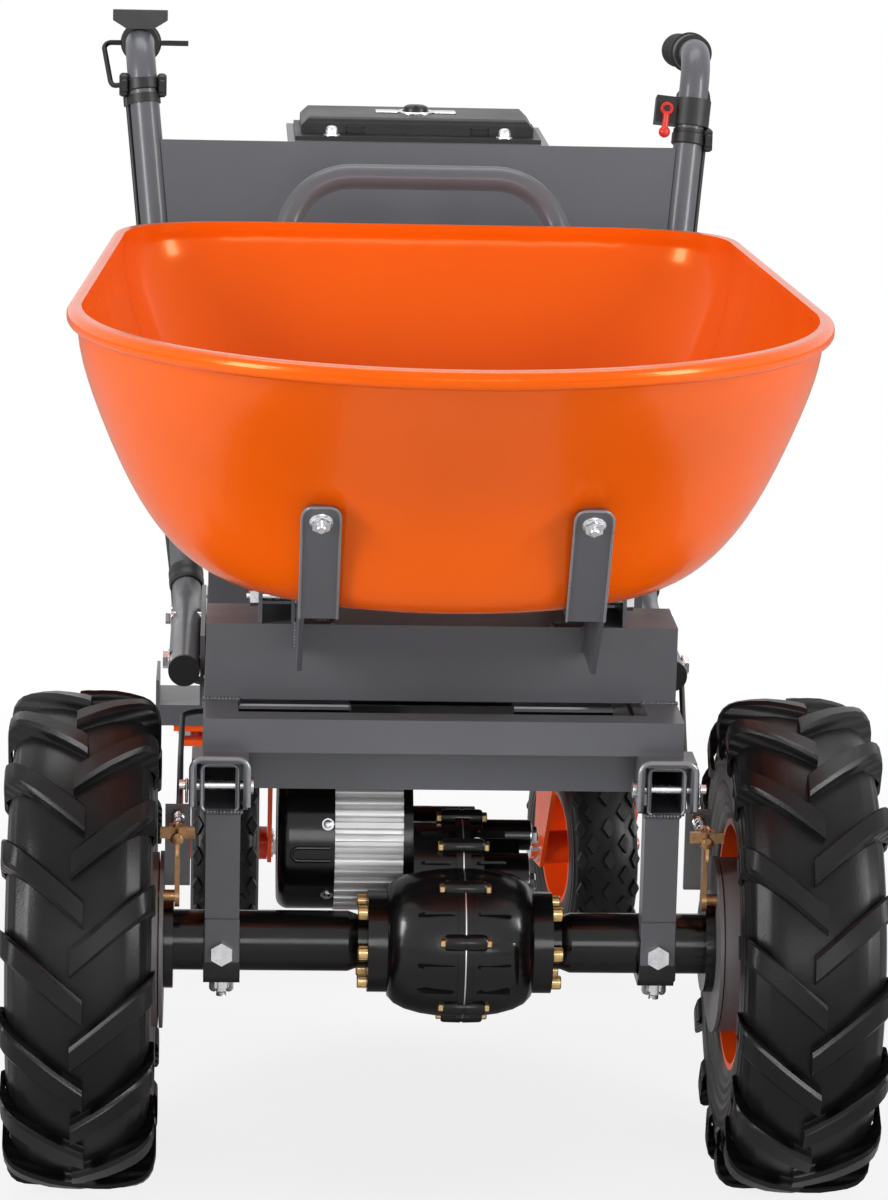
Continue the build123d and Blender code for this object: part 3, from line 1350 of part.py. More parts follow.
tub_solid = tub_body(0, 0)
rim_half, rim_front, rim_rear = TUB_SHAPE[-1][1:]
strap_bolts = []
strap_shanks = []
strap_foot = TUB_FLOOR - STRAP_T
strap_rise = STRAP_TOP - strap_foot
strap_lean = STRAP_FACE - wall_front(STRAP_X, STRAP_TOP) + STRAP_STAND
strap_face = STRAP_FACE - strap_lean * (STRAP_BOLT_Z - strap_foot) / strap_rise
for side in SIDES:
    start = (side * STRAP_X, strap_face, STRAP_BOLT_Z)
    square_on = (0, strap_rise, strap_lean)
    strap_bolts.append(hex_bolt(start, square_on, STRAP_BOLT_R, STRAP_BOLT_L))
    strap_shanks.append(shank(start, square_on, STRAP_BOLT_R, STRAP_BOLT_L))
with BuildPart() as rim_ring:
    with BuildSketch(Plane.XY.offset(TUB_RIM - RIM_H / 2)):
        add(tub_outline(rim_half + RIM_OUT, rim_front - RIM_OUT, rim_rear + RIM_OUT))
    extrude(amount=RIM_H)
    fillet(rim_ring.faces().sort_by(Axis.Z)[-1].outer_wire().edges(), radius=RIM_ROUND)
    fillet(rim_ring.faces().sort_by(Axis.Z)[0].outer_wire().edges(), radius=RIM_ROUND)
with BuildPart() as rim_hole:
    with BuildSketch(Plane.XY.offset(TUB_RIM)):
        add(tub_outline(rim_half - TUB_SHELL, rim_front + TUB_SHELL, rim_rear - TUB_SHELL))
    extrude(amount=RIM_H)
with BuildPart() as tub:
    add(tub_solid)
    add(rim_ring.part)
    add(tub_body(TUB_SHELL, TUB_SHELL), mode=Mode.SUBTRACT)
    add(rim_hole.part, mode=Mode.SUBTRACT)
    for hole in strap_shanks:
        add(hole, mode=Mode.SUBTRACT)
tub.part.label = "tub"
export_step(tub.part, "parts/tub.step")

# Bearers between the box beams and the tub, with the cross bolt in each open front end
bearers = []
bearer_bolts = []
for side in SIDES:
    x = side * BEARER_X
    outer = block(x - BEARER_W / 2, x + BEARER_W / 2, BEARER_FRONT, BEARER_REAR, BEAM_TOP, TUB_FLOOR)
    hollow = block(
        x - BEARER_W / 2 + BEARER_T, x + BEARER_W / 2 - BEARER_T, BEARER_FRONT, BEARER_REAR,
        BEAM_TOP, TUB_FLOOR - BEARER_T,
    )
    middle = (BEAM_TOP + TUB_FLOOR) / 2
    start = (x + BEARER_W / 2, BEARER_BOLT_Y, middle)
    reach = BEARER_W + 2 * BEARER_BOLT_R
    bearer_bolts.append(hex_bolt(start, (-1, 0, 0), BEARER_BOLT_R, reach, BEARER_W))
    bearers.append(fused(outer, cuts=[hollow, shank(start, (-1, 0, 0), BEARER_BOLT_R, reach)]))
save("tub_bearers", *bearers)
save("tub_bolts", *strap_bolts, *bearer_bolts)

# Front straps: a bar bent under the tub, with a gusset plate on its outer edge
straps = []
for side in SIDES:
    x = side * STRAP_X
    bar = flat(
        (
            (STRAP_FACE - strap_lean, STRAP_TOP), (STRAP_FACE - strap_lean + 3 * STRAP_T, STRAP_TOP),
            (STRAP_FACE + 3 * STRAP_T, TUB_FLOOR), (STRAP_TAIL, TUB_FLOOR),
            (STRAP_TAIL, strap_foot), (STRAP_FACE, strap_foot),
        ),
        x - STRAP_W / 2, x + STRAP_W / 2,
    )
    edge = side * (STRAP_X + STRAP_W / 2)
    plate = flat(
        (
            (STRAP_FACE, strap_foot), (GUSSET_TIP_Y, GUSSET_TIP_Z), (FRONT_BEAM_Y, GUSSET_TIP_Z),
            (FRONT_BEAM_Y, strap_foot),
        ),
        edge, edge - side * GUSSET_T,
    )
    with BuildPart() as strap:
        add(bar)
        fillet(strap.faces().sort_by(Axis.Z)[-1].edges().filter_by(Axis.Y), radius=STRAP_ROUND)
        add(plate)
        add(tub.part, mode=Mode.SUBTRACT)
        add(tub_solid, mode=Mode.SUBTRACT)
        for hole in strap_shanks:
            add(hole, mode=Mode.SUBTRACT)
    straps.append(strap.part)
save("front_straps", *straps)

# Hoop behind the tub for tipping it
hoop_lean = (HOOP_TOP_Y - HOOP_FOOT_Y) / (HOOP_TOP_Z - TIP_TOP)
foot_y = HOOP_FOOT_Y - hoop_lean * HOOP_R * 2
foot_z = TIP_TOP - HOOP_R * 2
hoop = fused(
    pipe(
        (
            (-HOOP_X, foot_y, foot_z), (-HOOP_X, HOOP_TOP_Y, HOOP_TOP_Z),
            (HOOP_X, HOOP_TOP_Y, HOOP_TOP_Z), (HOOP_X, foot_y, foot_z),
        ),
        HOOP_BEND, HOOP_R, HOOP_R - HOOP_WALL,
    ),
    cuts=[block(-2 * HOOP_X, 2 * HOOP_X, 0, REAR_REACH, 0, TIP_TOP)],
)
save("dump_hoop", hoop)

# Handle tubes with front caps and grips
handle_tubes = []
handle_cores = []
end_caps = []
grips = []
for side in SIDES:
    bends = (HANDLE_LOW_BEND, HANDLE_TOP_BEND)
    tube = pipe(handle_path(side), bends, HANDLE_R, HANDLE_BORE)
    handle_tubes.append(fused(tube, cuts=handle_bolts))
    handle_cores.append(pipe(handle_path(side), bends, HANDLE_R))
    cap_start = (side * HANDLE_X, HANDLE_FRONT - CAP_T, HANDLE_Z)
    end_caps.append(
        fused(
            shank(cap_start, (0, 1, 0), HANDLE_R, CAP_T),
            shank(cap_start, (0, 1, 0), HANDLE_BORE, CAP_T + CAP_DEPTH),
        )
    )
    with BuildPart() as grip:
        with BuildSketch(grip_plane(side, GRIP_FROM)):
            Circle(GRIP_R)
            Circle(HANDLE_R, mode=Mode.SUBTRACT)
        extrude(amount=GRIP_RUN / cos(GRIP_TILT) - GRIP_FROM)
        with BuildSketch(grip_plane(side, GRIP_FROM)):
            Circle(GRIP_FLANGE_R)
            Circle(HANDLE_R, mode=Mode.SUBTRACT)
        extrude(amount=GRIP_FLANGE_T)
    grips.append(grip.part)
save("handle_tubes", *handle_tubes)
save("handle_end_caps", *end_caps)
save("grips", *grips)

# Back plate between the rising tubes, ahead of their middle, its top folded back into a shelf
share_low = (BOARD_BOTTOM_Z - HANDLE_Z) / UPRIGHT_RISE
top_x = on_upright(1, BOARD_SHARE)[0] - BOARD_INSET
low_x = on_upright(1, share_low)[0] - BOARD_INSET
lean = radians(UPRIGHT_LEAN)
board_run = (BOARD_TOP_Z - BOARD_BOTTOM_Z) / cos(lean)
board_plane = Plane((0, from_axle(BOARD_Y), BOARD_TOP_Z), x_dir=(1, 0, 0), z_dir=(0, -cos(lean), sin(lean)))
with BuildPart() as back_board:
    with BuildSketch(board_plane):
        with BuildLine():
            Polyline((-top_x, 0), (top_x, 0), (low_x, -board_run), (-low_x, -board_run), close=True)
        make_face()
    extrude(amount=BOARD_T / 2, both=True)
    add(
        block(-SHELF_HALF, SHELF_HALF, BOARD_Y - BOARD_T / 2, SHELF_REAR, BOARD_TOP_Z - BOARD_T, BOARD_TOP_Z)
    )
    for core in handle_cores:
        add(core, mode=Mode.SUBTRACT)
    add(
        block(-HANDLE_TOP_X, HANDLE_TOP_X, HANDLE_BEND_Y, REAR_REACH, BOARD_TOP_Z, 2 * BOARD_TOP_Z),
        mode=Mode.SUBTRACT,
    )
    for hole in console_shanks:
        add(hole, mode=Mode.SUBTRACT)
back_board.part.label = "back_plate"
export_step(back_board.part, "parts/back_plate.step")

# Console on the shelf, battery case and pack under it, controller on the chassis tray
lip_top = BOARD_TOP_Z + CONSOLE_LIP_T
with BuildPart() as console:
    add(
        block(-CONSOLE_HALF, CONSOLE_HALF, CONSOLE_FRONT, CONSOLE_REAR, BOARD_TOP_Z, BOARD_TOP_Z + CONSOLE_H)
    )
    chamfer(console.edges().filter_by(Axis.Y).group_by(Axis.Z)[-1], length=CONSOLE_CHAMFER)
    fillet(console.faces().sort_by(Axis.Z)[-1].edges().filter_by(Axis.X), radius=CONSOLE_LIP)
    add(
        block(-CONSOLE_HALF - CONSOLE_LIP, CONSOLE_HALF + CONSOLE_LIP, CONSOLE_LIP_FRONT,
              CONSOLE_REAR + CONSOLE_LIP, BOARD_TOP_Z, lip_top)
    )
    add(
        block(-CONSOLE_HALF + CONSOLE_CHAMFER, CONSOLE_HALF - CONSOLE_CHAMFER,
              CONSOLE_FRONT + CONSOLE_WALL, CONSOLE_REAR - CONSOLE_WALL,
              BOARD_TOP_Z, BOARD_TOP_Z + CONSOLE_H - 2 * CONSOLE_WALL),
        mode=Mode.SUBTRACT,
    )
    knob_y = (CONSOLE_FRONT + CONSOLE_REAR) / 2
    add(shank((0, knob_y, BOARD_TOP_Z), (0, 0, 1), KNOB_STEM_R + RUN, 2 * CONSOLE_H), mode=Mode.SUBTRACT)
    for hole in console_shanks:
        add(hole, mode=Mode.SUBTRACT)
console.part.label = "console"
export_step(console.part, "parts/console.step")

knob_z = BOARD_TOP_Z + CONSOLE_H
knob = fused(
    shank((0, knob_y, knob_z + GAP), (0, 0, 1), KNOB_R, KNOB_H),
    shank((0, knob_y, knob_z - CONSOLE_H / 2), (0, 0, 1), KNOB_STEM_R, CONSOLE_H / 2 + KNOB_H),
    block(-KNOB_R / 4, KNOB_R / 4, knob_y - KNOB_R, knob_y + KNOB_R, knob_z + KNOB_H, knob_z + 2 * KNOB_H),
)
save("key_knob", knob)

shelf_under = BOARD_TOP_Z - BOARD_T
case_outer = block(-BATTERY_HALF, BATTERY_HALF, BATTERY_FRONT, BATTERY_REAR, BATTERY_Z, shelf_under)
case_inner = block(
    -BATTERY_HALF + BATTERY_WALL, BATTERY_HALF - BATTERY_WALL, BATTERY_FRONT + BATTERY_WALL,
    BATTERY_REAR - BATTERY_WALL, BATTERY_Z + BATTERY_WALL, shelf_under,
)
save("battery_case", fused(case_outer, cuts=[case_inner]))
inset = BATTERY_WALL + BATTERY_SLACK
save(
    "battery_pack",
    block(-BATTERY_HALF + inset, BATTERY_HALF - inset, BATTERY_FRONT + inset, BATTERY_REAR - inset,
          BATTERY_Z + BATTERY_WALL, shelf_under - 3 * BATTERY_SLACK),
)

tray_top = RAIL_BOTTOM + TRAY_T
controller_y = TRAY_Y + (TRAY_LENGTH - CONTROLLER_LENGTH) / 2
body_top = tray_top + CONTROLLER_H
with BuildPart() as controller:
    add(
        block(-CONTROLLER_HALF, CONTROLLER_HALF, controller_y, controller_y + CONTROLLER_LENGTH,
              tray_top, body_top)
    )
    step = (CONTROLLER_LENGTH - CONTROLLER_FIN_T) / (CONTROLLER_FINS - 1)
    for i in range(CONTROLLER_FINS):
        y = controller_y + i * step
        add(
            block(-CONTROLLER_HALF, CONTROLLER_HALF, y, y + CONTROLLER_FIN_T,
                  body_top, body_top + CONTROLLER_FIN_H)
        )
controller.part.label = "motor_controller"
export_step(controller.part, "parts/motor_controller.step")

# Throttle and display housing on the viewer's left handle, with its thumb lever
with BuildPart() as throttle_housing:
    with BuildSketch(grip_plane(-1, THROTTLE_AT)):
        Circle(CLAMP_R)
    extrude(amount=THROTTLE_L)
    with BuildSketch(grip_plane(-1, THROTTLE_AT + THROTTLE_L - THROTTLE_HEAD_L)):
        with BuildLine():
            Polyline(
                (-THROTTLE_NECK, -HANDLE_R), (-THROTTLE_HEAD, -THROTTLE_SHOULDER),
                (-THROTTLE_HEAD, -THROTTLE_TOP), (THROTTLE_HEAD, -THROTTLE_TOP),
                (THROTTLE_HEAD, -THROTTLE_SHOULDER), (THROTTLE_NECK, -HANDLE_R),
                close=True,
            )
        make_face()
    extrude(amount=THROTTLE_HEAD_L)
    add(handle_cores[0], mode=Mode.SUBTRACT)
throttle_housing.part.label = "throttle_housing"
export_step(throttle_housing.part, "parts/throttle_housing.step")

with BuildPart() as throttle_lever:
    with BuildSketch(grip_plane(-1, THROTTLE_AT + THROTTLE_L + GAP)):
        Circle(CLAMP_R)
        with Locations(((THUMB_REACH + HANDLE_R) / 2, 0)):
            Rectangle(THUMB_REACH - HANDLE_R, THUMB_T)
        Circle(HANDLE_R + RUN, mode=Mode.SUBTRACT)
    extrude(amount=THUMB_RING)
    with BuildSketch(grip_plane(-1, THROTTLE_AT + THROTTLE_L + GAP)):
        with Locations(((THUMB_REACH + GRIP_FLANGE_R + THUMB_CLEAR) / 2, 0)):
            Rectangle(THUMB_REACH - GRIP_FLANGE_R - THUMB_CLEAR, THUMB_T)
    extrude(amount=THUMB_W)
throttle_lever.part.label = "throttle_lever"
export_step(throttle_lever.part, "parts/throttle_lever.step")

# Brake lever and its perch on the viewer's right handle
perch_mid = PERCH_AT + PERCH_L / 2
pin_x, pin_y, pin_z = on_grip(1, perch_mid, LEVER_PIN_DROP)
slot_half = LEVER_T / 2 + GAP
with BuildPart() as lever_perch:
    with BuildSketch(grip_plane(1, PERCH_AT)):
        Circle(CLAMP_R)
        with Locations((0, PERCH_DROP / 2)):
            Rectangle(PERCH_W, PERCH_DROP)
    extrude(amount=PERCH_L)
    with BuildSketch(grip_plane(1, PERCH_AT)):
        with Locations((0, CLAMP_R + PERCH_DROP)):
            Rectangle(2 * slot_half, 2 * PERCH_DROP)
    extrude(amount=PERCH_L, mode=Mode.SUBTRACT)
    add(rod(pin_x - PERCH_W / 2, pin_x + PERCH_W / 2, LEVER_PIN_R, pin_y, pin_z))
    add(handle_cores[1], mode=Mode.SUBTRACT)
lever_perch.part.label = "lever_perch"
export_step(lever_perch.part, "parts/lever_perch.step")

with BuildPart() as brake_lever:
    with BuildSketch(side_plane(pin_x - LEVER_T / 2, pin_y, pin_z)):
        Circle(LEVER_HUB_R)
        with Locations(Location((0, 0, 0), (0, 0, degrees(GRIP_TILT) - LEVER_SLOPE))):
            with Locations((LEVER_L / 2, 0)):
                SlotOverall(LEVER_L + LEVER_W, LEVER_W)
        Circle(LEVER_PIN_R + RUN, mode=Mode.SUBTRACT)
    extrude(amount=LEVER_T)
brake_lever.part.label = "brake_lever"
export_step(brake_lever.part, "parts/brake_lever.step")


# Switch box on the right upright with its red lever
def upright_plane(side, share):
    rise = Vector(side * (HANDLE_TOP_X - HANDLE_X), UPRIGHT_RUN, UPRIGHT_RISE).normalized()
    outward = (Vector(1, 0, 0) - rise * rise.X).normalized()
    x, y, z = on_upright(side, share)
    return Plane((x, from_axle(y), z), x_dir=outward, z_dir=rise)


def cable_offset(side, lane):
    # Where a cable lies against a handle tube: behind it and outwards, in the upright's own plane
    reach = HANDLE_R + CABLE_R + GAP
    turn = pi / 4 + lane * radians(CABLE_SPREAD)
    return (side * reach * cos(turn), reach * sin(turn))


def along_upright(side, share, lane):
    dx, dy = cable_offset(side, lane)
    point = upright_plane(side, share).from_local_coords((dx, dy, 0))
    return (point.X, point.Y - AXLE_Y, point.Z)


def under_level(side, lane, y):
    # Where a cable lies against the level run of a handle tube: outwards and under it
    reach = HANDLE_R + CABLE_R + GAP
    turn = pi / 4 + (lane + 1) * radians(CABLE_SPREAD)
    return (side * (HANDLE_X + reach * cos(turn)), y, HANDLE_Z - reach * sin(turn))


def round_bend(side, lane):
    # Where a cable's runs behind the rising tube and under the level tube would meet
    drop = HANDLE_Z - under_level(side, lane, 0)[2]
    return under_level(side, lane, HANDLE_BEND_Y + drop * tan(pi / 4 - radians(UPRIGHT_LEAN) / 2))


def lane_core(side, lane, clearance):
    with BuildPart() as piece:
        with BuildSketch(upright_plane(side, 0)):
            with Locations(cable_offset(side, lane)):
                Circle(CABLE_R + clearance)
        extrude(amount=sqrt((HANDLE_TOP_X - HANDLE_X) ** 2 + UPRIGHT_RUN ** 2 + UPRIGHT_RISE ** 2))
    return piece.part


LANES = (-1, 1)
box_x = -(CLAMP_R + SWITCH_BOX / 2 - SWITCH_SINK)
with BuildPart() as switch_box:
    with BuildSketch(upright_plane(1, SWITCH_AT)):
        Circle(CLAMP_R)
        with Locations((box_x, 0)):
            Rectangle(SWITCH_BOX, SWITCH_BOX)
    extrude(amount=SWITCH_L)
    pivot_plane = upright_plane(1, SWITCH_AT).offset(SWITCH_L / 2)
    pivot = pivot_plane.from_local_coords((box_x, 0, 0))
    ahead = pivot_plane.y_dir * -1
    with BuildSketch(Plane(pivot, x_dir=pivot_plane.x_dir, z_dir=ahead)):
        Circle(SWITCH_PIVOT_R)
    extrude(amount=SWITCH_BOX / 2 + SWITCH_HUB_T + 2)
    add(handle_cores[1], mode=Mode.SUBTRACT)
    for lane in LANES:
        add(lane_core(1, lane, GAP / 2), mode=Mode.SUBTRACT)
switch_box.part.label = "switch_box"
export_step(switch_box.part, "parts/switch_box.step")

toggle_start = pivot + ahead * (SWITCH_BOX / 2 + GAP)
toggle_mid = toggle_start + ahead * (SWITCH_HUB_T / 2)
down = pivot_plane.z_dir * -1
with BuildPart() as direction_lever:
    with BuildSketch(Plane(toggle_start, x_dir=pivot_plane.x_dir, z_dir=ahead)):
        Circle(SWITCH_HUB_R)
    extrude(amount=SWITCH_HUB_T)
    with BuildSketch(Plane(toggle_mid, x_dir=pivot_plane.x_dir, z_dir=down)):
        Circle(TOGGLE_STALK_R)
    extrude(amount=TOGGLE_L)
    with BuildSketch(Plane(toggle_start, x_dir=pivot_plane.x_dir, z_dir=ahead)):
        Circle(SWITCH_PIVOT_R + RUN)
    extrude(amount=SWITCH_HUB_T, mode=Mode.SUBTRACT)
    with Locations(toggle_mid + down * (TOGGLE_L + TOGGLE_BALL / 2)):
        Sphere(TOGGLE_BALL)
direction_lever.part.label = "direction_lever"
export_step(direction_lever.part, "parts/direction_lever.step")

# Brake cables from the perch down the right handle tube and along the rails to the brake plates
lug_x = ARM_X + ARM_T / 2
lug_end = ANCHOR_LUG_Y + LUG_T
under_rail = RAIL_BOTTOM - CABLE_R - GAP


LOW_CABLE_BEND = HANDLE_LOW_BEND + HANDLE_R


def brake_cable(side, lane):
    x, y, z = on_grip(1, PERCH_AT, CLAMP_R + (PERCH_DROP - CLAMP_R) / 2)
    start = (x - lane * (slot_half + CABLE_R), y, z)
    high = along_upright(1, CABLE_HIGH, lane)
    low = along_upright(1, CABLE_LOW, lane)
    lead_in = on_grip(1, PERCH_AT - CABLE_BEND / 2, CLAMP_R + (PERCH_DROP - CLAMP_R) / 2)
    straight = (start[0], *lead_in[1:])
    finish = [
        (side * lug_x, lug_end + CABLE_SLACK, under_rail),
        (side * lug_x, lug_end + CABLE_ENTRY, ANCHOR_LUG_Z),
        (side * lug_x, lug_end, ANCHOR_LUG_Z),
    ]
    run = [under_level(1, lane, HANDLE_FRONT + CABLE_BEND)]
    if side < 0:
        leave = under_level(1, lane, CROSSING_Y + 3 * CABLE_BEND)
        run = [leave, (leave[0], CROSSING_Y, under_rail), (-lug_x, CROSSING_Y, under_rail)]
    points = [start, straight, high, low, round_bend(1, lane), *run, *finish]
    bends = [CABLE_BEND] * (len(points) - 2)
    bends[3] = LOW_CABLE_BEND
    return pipe(points, bends, CABLE_R)


save("brake_cables", brake_cable(1, -1), brake_cable(-1, 1))

# Leads: throttle to controller, battery to controller, controller to motor
lead_z = under_rail - LEAD_DROP
lead_y = controller_y + CONTROLLER_LENGTH - (CONTROLLER_LENGTH - TRAY_LENGTH) / 4
ring_x, ring_y, ring_z = on_grip(-1, THROTTLE_AT + THROTTLE_L / 2)
throttle_lead = pipe(
    (
        (ring_x - CLAMP_R, ring_y, ring_z), (ring_x - CLAMP_R - LOOP_OUT, ring_y, ring_z),
        (ring_x - CLAMP_R - LOOP_OUT / 2, ring_y - LOOP_DROP, ring_z - LOOP_DROP),
        along_upright(-1, CABLE_HIGH, -1), along_upright(-1, CABLE_LOW, -1), round_bend(-1, -1),
        (round_bend(-1, -1)[0], LEAD_CROSS_Y, lead_z), (-LEAD_X, LEAD_CROSS_Y, lead_z),
        (-LEAD_X, lead_y, lead_z), (-LEAD_X, lead_y, tray_top),
    ),
    (LEAD_BEND / 2, LEAD_BEND, LEAD_BEND / 2, LEAD_BEND, LOW_CABLE_BEND, LEAD_BEND, LEAD_BEND, LEAD_BEND),
    CABLE_R,
)
battery_y = (BATTERY_FRONT + BATTERY_REAR) / 2
low_z = lead_z - 4 * CABLE_R
battery_lead = pipe(
    (
        (-BATTERY_HALF / 2, battery_y, BATTERY_Z), (-BATTERY_HALF / 2, battery_y, BATTERY_Z - 3 * LEAD_BEND),
        along_upright(-1, (BANDS[-1][1] + BANDS[-1][0]) / 2, 1), along_upright(-1, CABLE_LOW, 1),
        round_bend(-1, 1), (round_bend(-1, 1)[0], LEAD_CROSS_Y + 2 * LEAD_BEND, low_z),
        (0, LEAD_CROSS_Y + 2 * LEAD_BEND, low_z), (0, lead_y, low_z), (0, lead_y, tray_top),
    ),
    (LEAD_BEND, LEAD_BEND, LEAD_BEND, LOW_CABLE_BEND, LEAD_BEND, LEAD_BEND, LEAD_BEND), CABLE_R,
)
motor_lead_x = (MOTOR_LEFT + MOTOR_FINS_LEFT) / 2
motor_front_y = controller_y + (CONTROLLER_LENGTH - TRAY_LENGTH) / 4
motor_lead = pipe(
    (
        (motor_lead_x, MOTOR_Y + MOTOR_R - 1, MOTOR_Z), (motor_lead_x, motor_front_y, MOTOR_Z),
        (-LEAD_X, motor_front_y, lead_z), (-LEAD_X, motor_front_y, tray_top),
    ),
    LEAD_BEND, LEAD_R,
)
save("leads", throttle_lead, battery_lead, motor_lead)

# Bands that hold the cables to the handle tubes
bands = []
for side in SIDES:
    for share in BANDS[side]:
        with BuildPart() as band:
            with BuildSketch(upright_plane(side, share)):
                Circle(HANDLE_R + BAND_T)
                for lane in LANES:
                    with Locations(cable_offset(side, lane)):
                        Circle(CABLE_R + BAND_T + GAP)
                for lane in LANES:
                    with Locations(cable_offset(side, lane)):
                        Circle(CABLE_R + GAP / 3, mode=Mode.SUBTRACT)
                Circle(HANDLE_R, mode=Mode.SUBTRACT)
            extrude(amount=BAND_W)
        bands.append(band.part)
save("cable_bands", *bands)
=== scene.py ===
import bpy
import bmesh
from math import cos, pi, radians, sin
from mathutils import Matrix, Vector


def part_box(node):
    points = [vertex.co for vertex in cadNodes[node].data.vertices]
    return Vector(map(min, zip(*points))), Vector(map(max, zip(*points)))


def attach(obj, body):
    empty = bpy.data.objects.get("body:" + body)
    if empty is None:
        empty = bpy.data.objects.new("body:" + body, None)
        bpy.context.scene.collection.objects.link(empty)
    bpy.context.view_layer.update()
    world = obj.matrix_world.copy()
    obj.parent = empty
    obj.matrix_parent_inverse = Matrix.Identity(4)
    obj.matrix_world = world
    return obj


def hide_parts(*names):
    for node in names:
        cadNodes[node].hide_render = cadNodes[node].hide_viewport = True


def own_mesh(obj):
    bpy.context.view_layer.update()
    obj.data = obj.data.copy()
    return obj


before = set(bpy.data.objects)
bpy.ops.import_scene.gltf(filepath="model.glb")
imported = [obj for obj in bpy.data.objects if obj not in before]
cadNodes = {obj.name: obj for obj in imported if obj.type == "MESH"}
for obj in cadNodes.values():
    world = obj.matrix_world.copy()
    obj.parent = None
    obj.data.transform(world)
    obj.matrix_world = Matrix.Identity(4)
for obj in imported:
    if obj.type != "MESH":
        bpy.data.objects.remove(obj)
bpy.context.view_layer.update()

tyreLow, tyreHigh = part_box("tyre_left")
axleY = (tyreLow[1] + tyreHigh[1]) / 2  # drive axle, in metres from the middle of the machine
axleHigh = 205  # its height in millimetres
sides = {"left": -1, "right": 1}  # as seen from in front of the tub
casters = {"left": {"x": -177, "y": 638, "toe": 0.0}, "right": {"x": 170.4, "y": 637.42, "toe": 10.0}}
casterHigh = 110


def fromAxle(x, y, z):  # millimetres, Y from the drive axle and Z from the ground, into metres
    return Vector((x / 1000, axleY + y / 1000, z / 1000))


# Finishes

def feed(tree, node, inputs):  # links what is a socket and sets what is a value
    for label, value in inputs.items():
        if isinstance(value, bpy.types.NodeSocket):
            tree.links.new(value, node.inputs[label])
        else:
            node.inputs[label].default_value = value


def addNode(tree, kind, inputs, **settings):
    node = tree.nodes.new(kind)
    for label, value in settings.items():
        setattr(node, label, value)
    feed(tree, node, inputs)
    return node.outputs


def startFinish(name):
    mat = bpy.data.materials.new(name)
    mat.use_nodes = True
    tree = mat.node_tree
    where = addNode(tree, "ShaderNodeTexCoord", {})["Object"]
    return mat, tree, tree.nodes["Principled BSDF"], where


def speckle(tree, where, scale, detail, rough=0.55, stretch=None):
    if stretch:
        where = addNode(tree, "ShaderNodeMapping", {"Vector": where, "Scale": stretch})["Vector"]
    return addNode(tree, "ShaderNodeTexNoise", {"Vector": where, "Scale": scale, "Detail": detail,
                                                "Roughness": rough})["Fac"]


def spread(tree, value, low, high, fromLow=0.3, fromHigh=0.7):
    return addNode(tree, "ShaderNodeMapRange", {"Value": value, "From Min": fromLow, "From Max": fromHigh,
                                                "To Min": low, "To Max": high})["Result"]


def tones(tree, value, stops):
    ramp = tree.nodes.new("ShaderNodeValToRGB")
    marks = ramp.color_ramp.elements
    for mark, (place, colour) in ((marks[0], stops[0]), (marks[1], stops[-1])):
        mark.position = place
        mark.color = (*colour, 1)
    for place, colour in stops[1:-1]:
        marks.new(place).color = (*colour, 1)
    feed(tree, ramp, {"Fac": value})
    return ramp.outputs["Color"]


def dusted(tree, share, shade, colour):
    return addNode(tree, "ShaderNodeMix", {"Factor": share, "A": shade, "B": (*colour, 1)},
                   data_type="RGBA")["Result"]


def relief(tree, height, strength, distance, under=None):
    inputs = {"Height": height, "Strength": strength, "Distance": distance}
    if under is not None:
        inputs["Normal"] = under
    return addNode(tree, "ShaderNodeBump", inputs)["Normal"]


def doMath(tree, operation, first, second=0.0):
    return addNode(tree, "ShaderNodeMath", {0: first, 1: second}, operation=operation)["Value"]


def lengthOf(tree, vector):
    return addNode(tree, "ShaderNodeVectorMath", {0: vector}, operation="LENGTH")["Value"]


def scaled(colour, share):
    return tuple(min(1.0, c * share) for c in colour)


# noises as scale, detail and roughness; dustSpan is the range of noise that dust fades in over
paintNoise = {"drift": (5.0, 3), "dust": (38.0, 6, 0.7), "dustSpan": (0.52, 0.78), "rub": (14.0, 5, 0.65)}
mouldNoise = {"drift": (9.0, 4), "dust": (60.0, 6, 0.7), "dustSpan": (0.5, 0.8),
              "dustColour": (0.2, 0.19, 0.17)}
tyreNoise = {"drift": (11.0, 5), "dust": (45.0, 7, 0.72), "dustSpan": (0.5, 0.8), "grain": (420.0, 3)}


def paintFinish(name, look):
    # sprayed or powder paint: slow drift of tone, orange peel, a few dull rubbed patches
    mat, tree, shader, where = startFinish(name)
    dark = scaled(look["colour"], 1 - look["drift"])
    light = scaled(look["colour"], 1 + look["drift"])
    shade = tones(tree, speckle(tree, where, *paintNoise["drift"]), ((0.3, dark), (0.7, light)))
    dust = speckle(tree, where, *paintNoise["dust"])
    dust = spread(tree, dust, 0.0, look["dust"], *paintNoise["dustSpan"])
    rub = speckle(tree, where, *paintNoise["rub"])
    peel = speckle(tree, where, look["peelScale"], 2)
    feed(tree, shader, {
        "Base Color": dusted(tree, dust, shade, look["dustColour"]),
        "Roughness": spread(tree, rub, *look["rough"]),
        "Metallic": look.get("metal", 0.0),
        "Specular IOR Level": look.get("shine", 0.5),
        "Specular Tint": (*look.get("shineTint", (1, 1, 1)), 1),
        "Coat Weight": look.get("coat", 0.0),
        "Coat Roughness": look.get("coatRough", 0.05),
        "Normal": relief(tree, peel, look["peel"], 0.0006),
    })
    return mat


def metalFinish(name, look):
    # bare or plated metal, with fine scratches along one direction
    mat, tree, shader, where = startFinish(name)
    tint = speckle(tree, where, look["tintScale"], 4)
    scratches = speckle(tree, where, look["lineScale"], 3, 0.6, look["stretch"])
    feed(tree, shader, {
        "Base Color": tones(tree, tint, look["tints"]),
        "Roughness": spread(tree, scratches, *look["rough"]),
        "Metallic": look.get("metal", 1.0),
        "Normal": relief(tree, scratches, look["scratch"], 0.0003),
    })
    return mat


